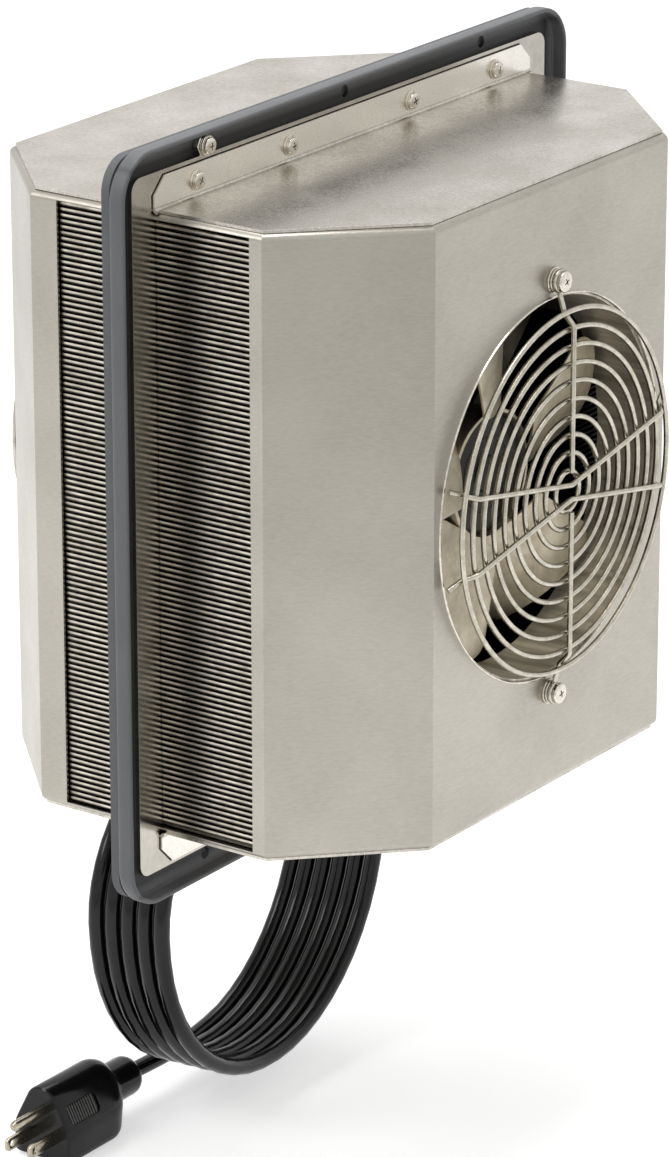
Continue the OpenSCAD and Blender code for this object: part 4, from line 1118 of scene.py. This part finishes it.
@dataclass
class WireGuard:
    """A wire guard: ten rings, two V bars and two upright bars that end in eyes."""
    side: Side
    stand: float = 7.9
    first_r: float = 9.0
    step: float = 7.92
    rings: int = 10
    eye_r: float = 4.2
    v_share: float = 0.213
    v_gap: float = 3.2
    v_shift: float = 2.4
    tip_out: float = 3.5
    touch: float = 2.42
    drop_in: float = 6.3
    drop_out: float = 1.1
    fillet: float = 3.0

    def bar_way(self, start: float, shift: float, tip: float) -> list[tuple[float, float]]:
        """A bar's way outwards, as distance and y: ahead of the rings, then behind the outer one."""
        ahead, behind = FACE - self.stand - self.touch, FACE - self.stand + self.touch
        outer = self.first_r + self.step * (self.rings - 1)
        return [(start, ahead), (outer - self.drop_in - shift, ahead), (outer - self.drop_out - shift, behind),
                (tip, FACE - EYE_STAND)]

    def bars(self) -> list[list[Vector]]:
        """The centrelines of the four bars, in metres."""
        outer = self.first_r + self.step * (self.rings - 1)
        lines = []
        for up in (1, -1):
            arms = [[(s * x, y, up * (self.v_gap + self.v_share * x * x / outer))
                     for x, y in self.bar_way(0, self.v_shift, outer + self.tip_out)] for s in (-1, 1)]
            lines.append([*reversed(arms[0]), *arms[1][1:]])
            stem_end = EYE_Z - self.eye_r - 2 * WIRE_R
            stem = [(0, y, up * r) for r, y in self.bar_way(self.first_r, 0, stem_end)]
            eye = [(-self.eye_r * math.sin(a), FACE - EYE_STAND, up * (EYE_Z - self.eye_r * math.cos(a)))
                   for a in (math.radians(v) for v in range(0, 271, 15))]
            lines.append([*stem, *eye])
        return [[Vector(p) * MM for p in line] for line in lines]

    def tree(self) -> bpy.types.NodeTree:
        """Builds the tree that sweeps the wire along the bars and round the rings.

        Returns:
            A tree with inputs Bars, Plane, Rings, First radius, Step, Wire radius, Fillet and Finish.
        """
        tree = bpy.data.node_groups.get("wire_guard")
        if tree:
            return tree
        tree = new_group("wire_guard", {
            "Bars": "Geometry", "Plane": "Float", "Rings": "Int", "First radius": "Float", "Step": "Float",
            "Wire radius": "Float", "Fillet": "Float", "Finish": "Material"}, "Guard")
        given = add(tree, "NodeGroupInput").outputs
        start = add(tree, "ShaderNodeCombineXYZ", {"Y": given["Plane"]})
        middles = add(tree, "GeometryNodeMeshLine", {
            "Count": given["Rings"], "Start Location": start.outputs[0], "Offset": (0, 0, 0)})
        number = add(tree, "GeometryNodeInputIndex")
        grown = calc(tree, "MULTIPLY_ADD", number.outputs[0], given["Step"], given["First radius"])
        scale = add(tree, "ShaderNodeCombineXYZ", {"X": grown, "Y": grown, "Z": 1.0})
        circle = add(tree, "GeometryNodeCurvePrimitiveCircle", {"Resolution": 96, "Radius": 1.0})
        rings = add(tree, "GeometryNodeInstanceOnPoints", {
            "Points": middles.outputs[0], "Instance": circle.outputs[0], "Scale": scale.outputs[0],
            "Rotation": (math.pi / 2, 0, 0)})
        loose = add(tree, "GeometryNodeRealizeInstances", {"Geometry": rings.outputs[0]})
        lines = add(tree, "GeometryNodeMeshToCurve", {"Mesh": given["Bars"]})
        bends = add(tree, "GeometryNodeFilletCurve", {
            "Curve": lines.outputs[0], "Radius": given["Fillet"], "Limit Radius": True, "Count": 5},
            mode="POLY")
        profile = add(tree, "GeometryNodeCurvePrimitiveCircle", {
            "Resolution": 12, "Radius": given["Wire radius"]})
        swept = [add(tree, "GeometryNodeCurveToMesh", {
            "Curve": line.outputs[0], "Profile Curve": profile.outputs[0], "Fill Caps": True})
            for line in (loose, bends)]
        whole = add(tree, "GeometryNodeJoinGeometry")
        for part in swept:
            tree.links.new(part.outputs[0], whole.inputs[0])
        return close_group(tree, whole.outputs[0], given["Finish"], "Guard")

    def build(self) -> None:
        """Makes the guard from its bars' centrelines."""
        mesh, name = bpy.data.meshes.new("guard_lines"), self.side.value
        points, edges = [], []
        for line in self.bars():
            edges += [(len(points) + i, len(points) + i + 1) for i in range(len(line) - 1)]
            points += line
        mesh.from_pydata(points, edges, [])
        piece = linked(f"{name}_wire_guard", mesh)
        lengths = {"Plane": FACE - self.stand, "First radius": self.first_r, "Step": self.step,
                   "Wire radius": WIRE_R, "Fillet": self.fillet}
        grow(piece, self.tree(), self.side, 40, {
            **{socket: length * MM for socket, length in lengths.items()},
            "Rings": self.rings, "Finish": PLATED_WIRE.material()})
        fit(piece, PLATED_WIRE, UNIT, "guard_wire", f"{name}_guard_rings", f"{name}_guard_bars")


# Fans

@dataclass
class Fan:
    """One axial fan: collar, cross, stator, cup and blades, drawn behind the housing's face."""
    side: Side
    cup_r: float = 27.5
    cup_front: float = 34.2
    cup_d: float = 15.0
    bracket: float = -55.1
    stack_l: float = 14.0
    stack_r: float = 22.0
    laminations: int = 9
    tip_r: float = 78.0
    corner_r: float = 12.0
    root_gap: float = 0.85
    root_half: float = 17.0
    tip_half: float = 32.0
    blades: int = 5
    blade_t: float = 1.2
    pitch: float = 23.0
    turn: float = 15.0
    camber_r: float = 75.0
    blade_mid: float = 29.5
    band_mid: float = 37.0
    band_h: float = 12.0
    steps: int = 8
    columns: int = 17

    def placed(self, name: str, shape: Shape, crease: float = 35.0) -> bpy.types.Object:
        """Moves a shape to its housing and makes it an object."""
        name = f"{self.side.value}_{name}"
        return linked(name, shape.moved(self.side.matrix()).mesh(name, crease))

    def still(self) -> None:
        """The polished collar behind the opening, and the motor's cross."""
        name = self.side.value
        sheet(f"{name}_fan_collar", COLLAR_SHEET, "fan_steel", 0.0)
        sheet(f"{name}_motor_bracket", PLAIN_SHEET, "inner_steel", 0.3)

    def stator(self) -> None:
        """The stator: grooved laminations on a flanged base."""
        back, r = self.bracket, self.stack_r
        front = back - self.stack_l
        outline = [(4.05, front), (12, front), (12, front + 0.6), (r - 0.6, front + 0.6), (r, front + 1.2)]
        for k in range(self.laminations):
            y = front + 2.0 + k
            outline += [(r, y), (r - 0.3, y + 0.15), (r - 0.3, y + 0.35), (r, y + 0.5)]
        outline += [(r, back - 1.7), (26.2, back - 1.7), (26.5, back - 1.4), (26.5, back), (4.05, back)]
        piece = self.placed("stator_stack", turned(outline, 64, closed=True))
        fit(piece, LAMINATIONS, UNIT, "motor_core", f"{self.side.value}_stator")

    def cup(self) -> None:
        """The turning cup with its rounded rim and boss."""
        front, r, b = FACE + self.cup_front, self.cup_r, 2.5
        rim = arc(r - b, front + b, b, -90, 0, 10)
        boss = [(0, front - 1.5), (7.2, front - 1.5), (7.7, front - 1.3), (8, front - 0.9),
                (8.2, front - 0.2), (8.6, front), (16, front), (16.3, front + 0.35), (17.2, front + 0.35),
                (17.5, front)]
        back, floor, shaft_end = front + self.cup_d, front + 2, front + 16
        outline = [*boss, *rim, (r, back - 0.4), (r - 0.4, back), (r - 2, back), (r - 2, floor), (4, floor),
                   (4, shaft_end), (0, shaft_end)]
        fit(self.placed("motor_cup", turned(outline, 72)), MOTOR_COAT, self.side.fan(), "motor_black",
            f"{self.side.value}_rotor_cup")

    def span(self) -> tuple[float, float]:
        """Where a blade leaves the band, and where its round corners start."""
        return self.cup_r + self.root_gap, self.tip_r - self.corner_r

    def half_width(self, x: float) -> float:
        """Half the width of a blade at a distance from the axis."""
        root, knee = self.span()
        if x <= knee:
            return self.root_half + (self.tip_half - self.root_half) * (x - root) / (knee - root)
        return self.tip_half - self.corner_r + math.sqrt(max(0.0, self.corner_r ** 2 - (x - knee) ** 2))

    def blade(self) -> Shape:
        """The middle surface of one blade, along +X, as a grid."""
        (root, knee), count, slope = self.span(), self.columns, math.radians(self.pitch)
        xs = [root + (knee - root) * i / self.steps for i in range(self.steps)]
        xs += [knee + self.corner_r * math.sin(math.pi / 2 * i / self.steps) for i in range(self.steps + 1)]
        points = []
        for x in xs:
            for j in range(count):
                z = self.half_width(x) * (2 * j / (count - 1) - 1)
                y = self.camber_r - math.sqrt(self.camber_r ** 2 - z * z)
                points.append(Vector((x, y * math.cos(slope) - z * math.sin(slope),
                                      y * math.sin(slope) + z * math.cos(slope))) * MM)
        faces = [(i * count + j, i * count + j + 1, (i + 1) * count + j + 1, (i + 1) * count + j)
                 for i in range(len(xs) - 1) for j in range(count - 1)]
        return Shape(points, faces)

    def rotor(self) -> None:
        """The sheet blades on their band."""
        wheel = Shape()
        for i in range(self.blades):
            angle = math.radians(self.turn + 360 * i / self.blades)
            place = (Matrix.Rotation(-angle, 4, "Y")
                     @ Matrix.Translation((0, (FACE + self.blade_mid) * MM, 0)))
            wheel = wheel.joined(self.blade().moved(place))
        piece = self.placed("fan_blade_set", wheel)
        thick = piece.modifiers.new("thickness", "SOLIDIFY")
        thick.thickness, thick.offset = self.blade_t * MM, 0.0
        rounded(piece, 0.25)
        settle(piece)
        middle, half = FACE + self.band_mid, self.band_h / 2
        low, high = middle - half, middle + half
        inner, outer = self.cup_r + 0.05, self.cup_r + 1.65
        band = turned([(inner, low), (outer - 0.3, low), (outer, low + 0.3), (outer, high - 0.3),
                       (outer - 0.3, high), (inner, high)], 72, closed=True)
        merged(piece.data, band.moved(self.side.matrix()).mesh("fan_band"))
        smooth(piece.data, 35)
        fit(piece, FAN_SHEET, self.side.fan(), "fan_steel", f"{self.side.value}_fan_blades")

    def build(self) -> None:
        """Makes the fan."""
        self.still()
        self.stator()
        self.cup()
        self.rotor()


@dataclass
class TerminalBlock:
    """The block inside the rear housing where the cord's wires end."""

    def build(self) -> None:
        """Dresses the block."""
        sheet("terminal_block", BLOCK_NYLON, "block_plastic", 0.3)


def main() -> None:
    """Builds every sub-assembly in order."""
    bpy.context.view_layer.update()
    Studio().build()
    MainsCord().build()
    for side in Side:
        Housing(side).build()
    Mounting().build()
    Core().build()
    Fasteners().build()
    for side in Side:
        WireGuard(side).build()
        Fan(side).build()
    TerminalBlock().build()


if __name__ == "__main__":
    logging.basicConfig(level=logging.INFO, format="%(name)s: %(message)s")
    main()
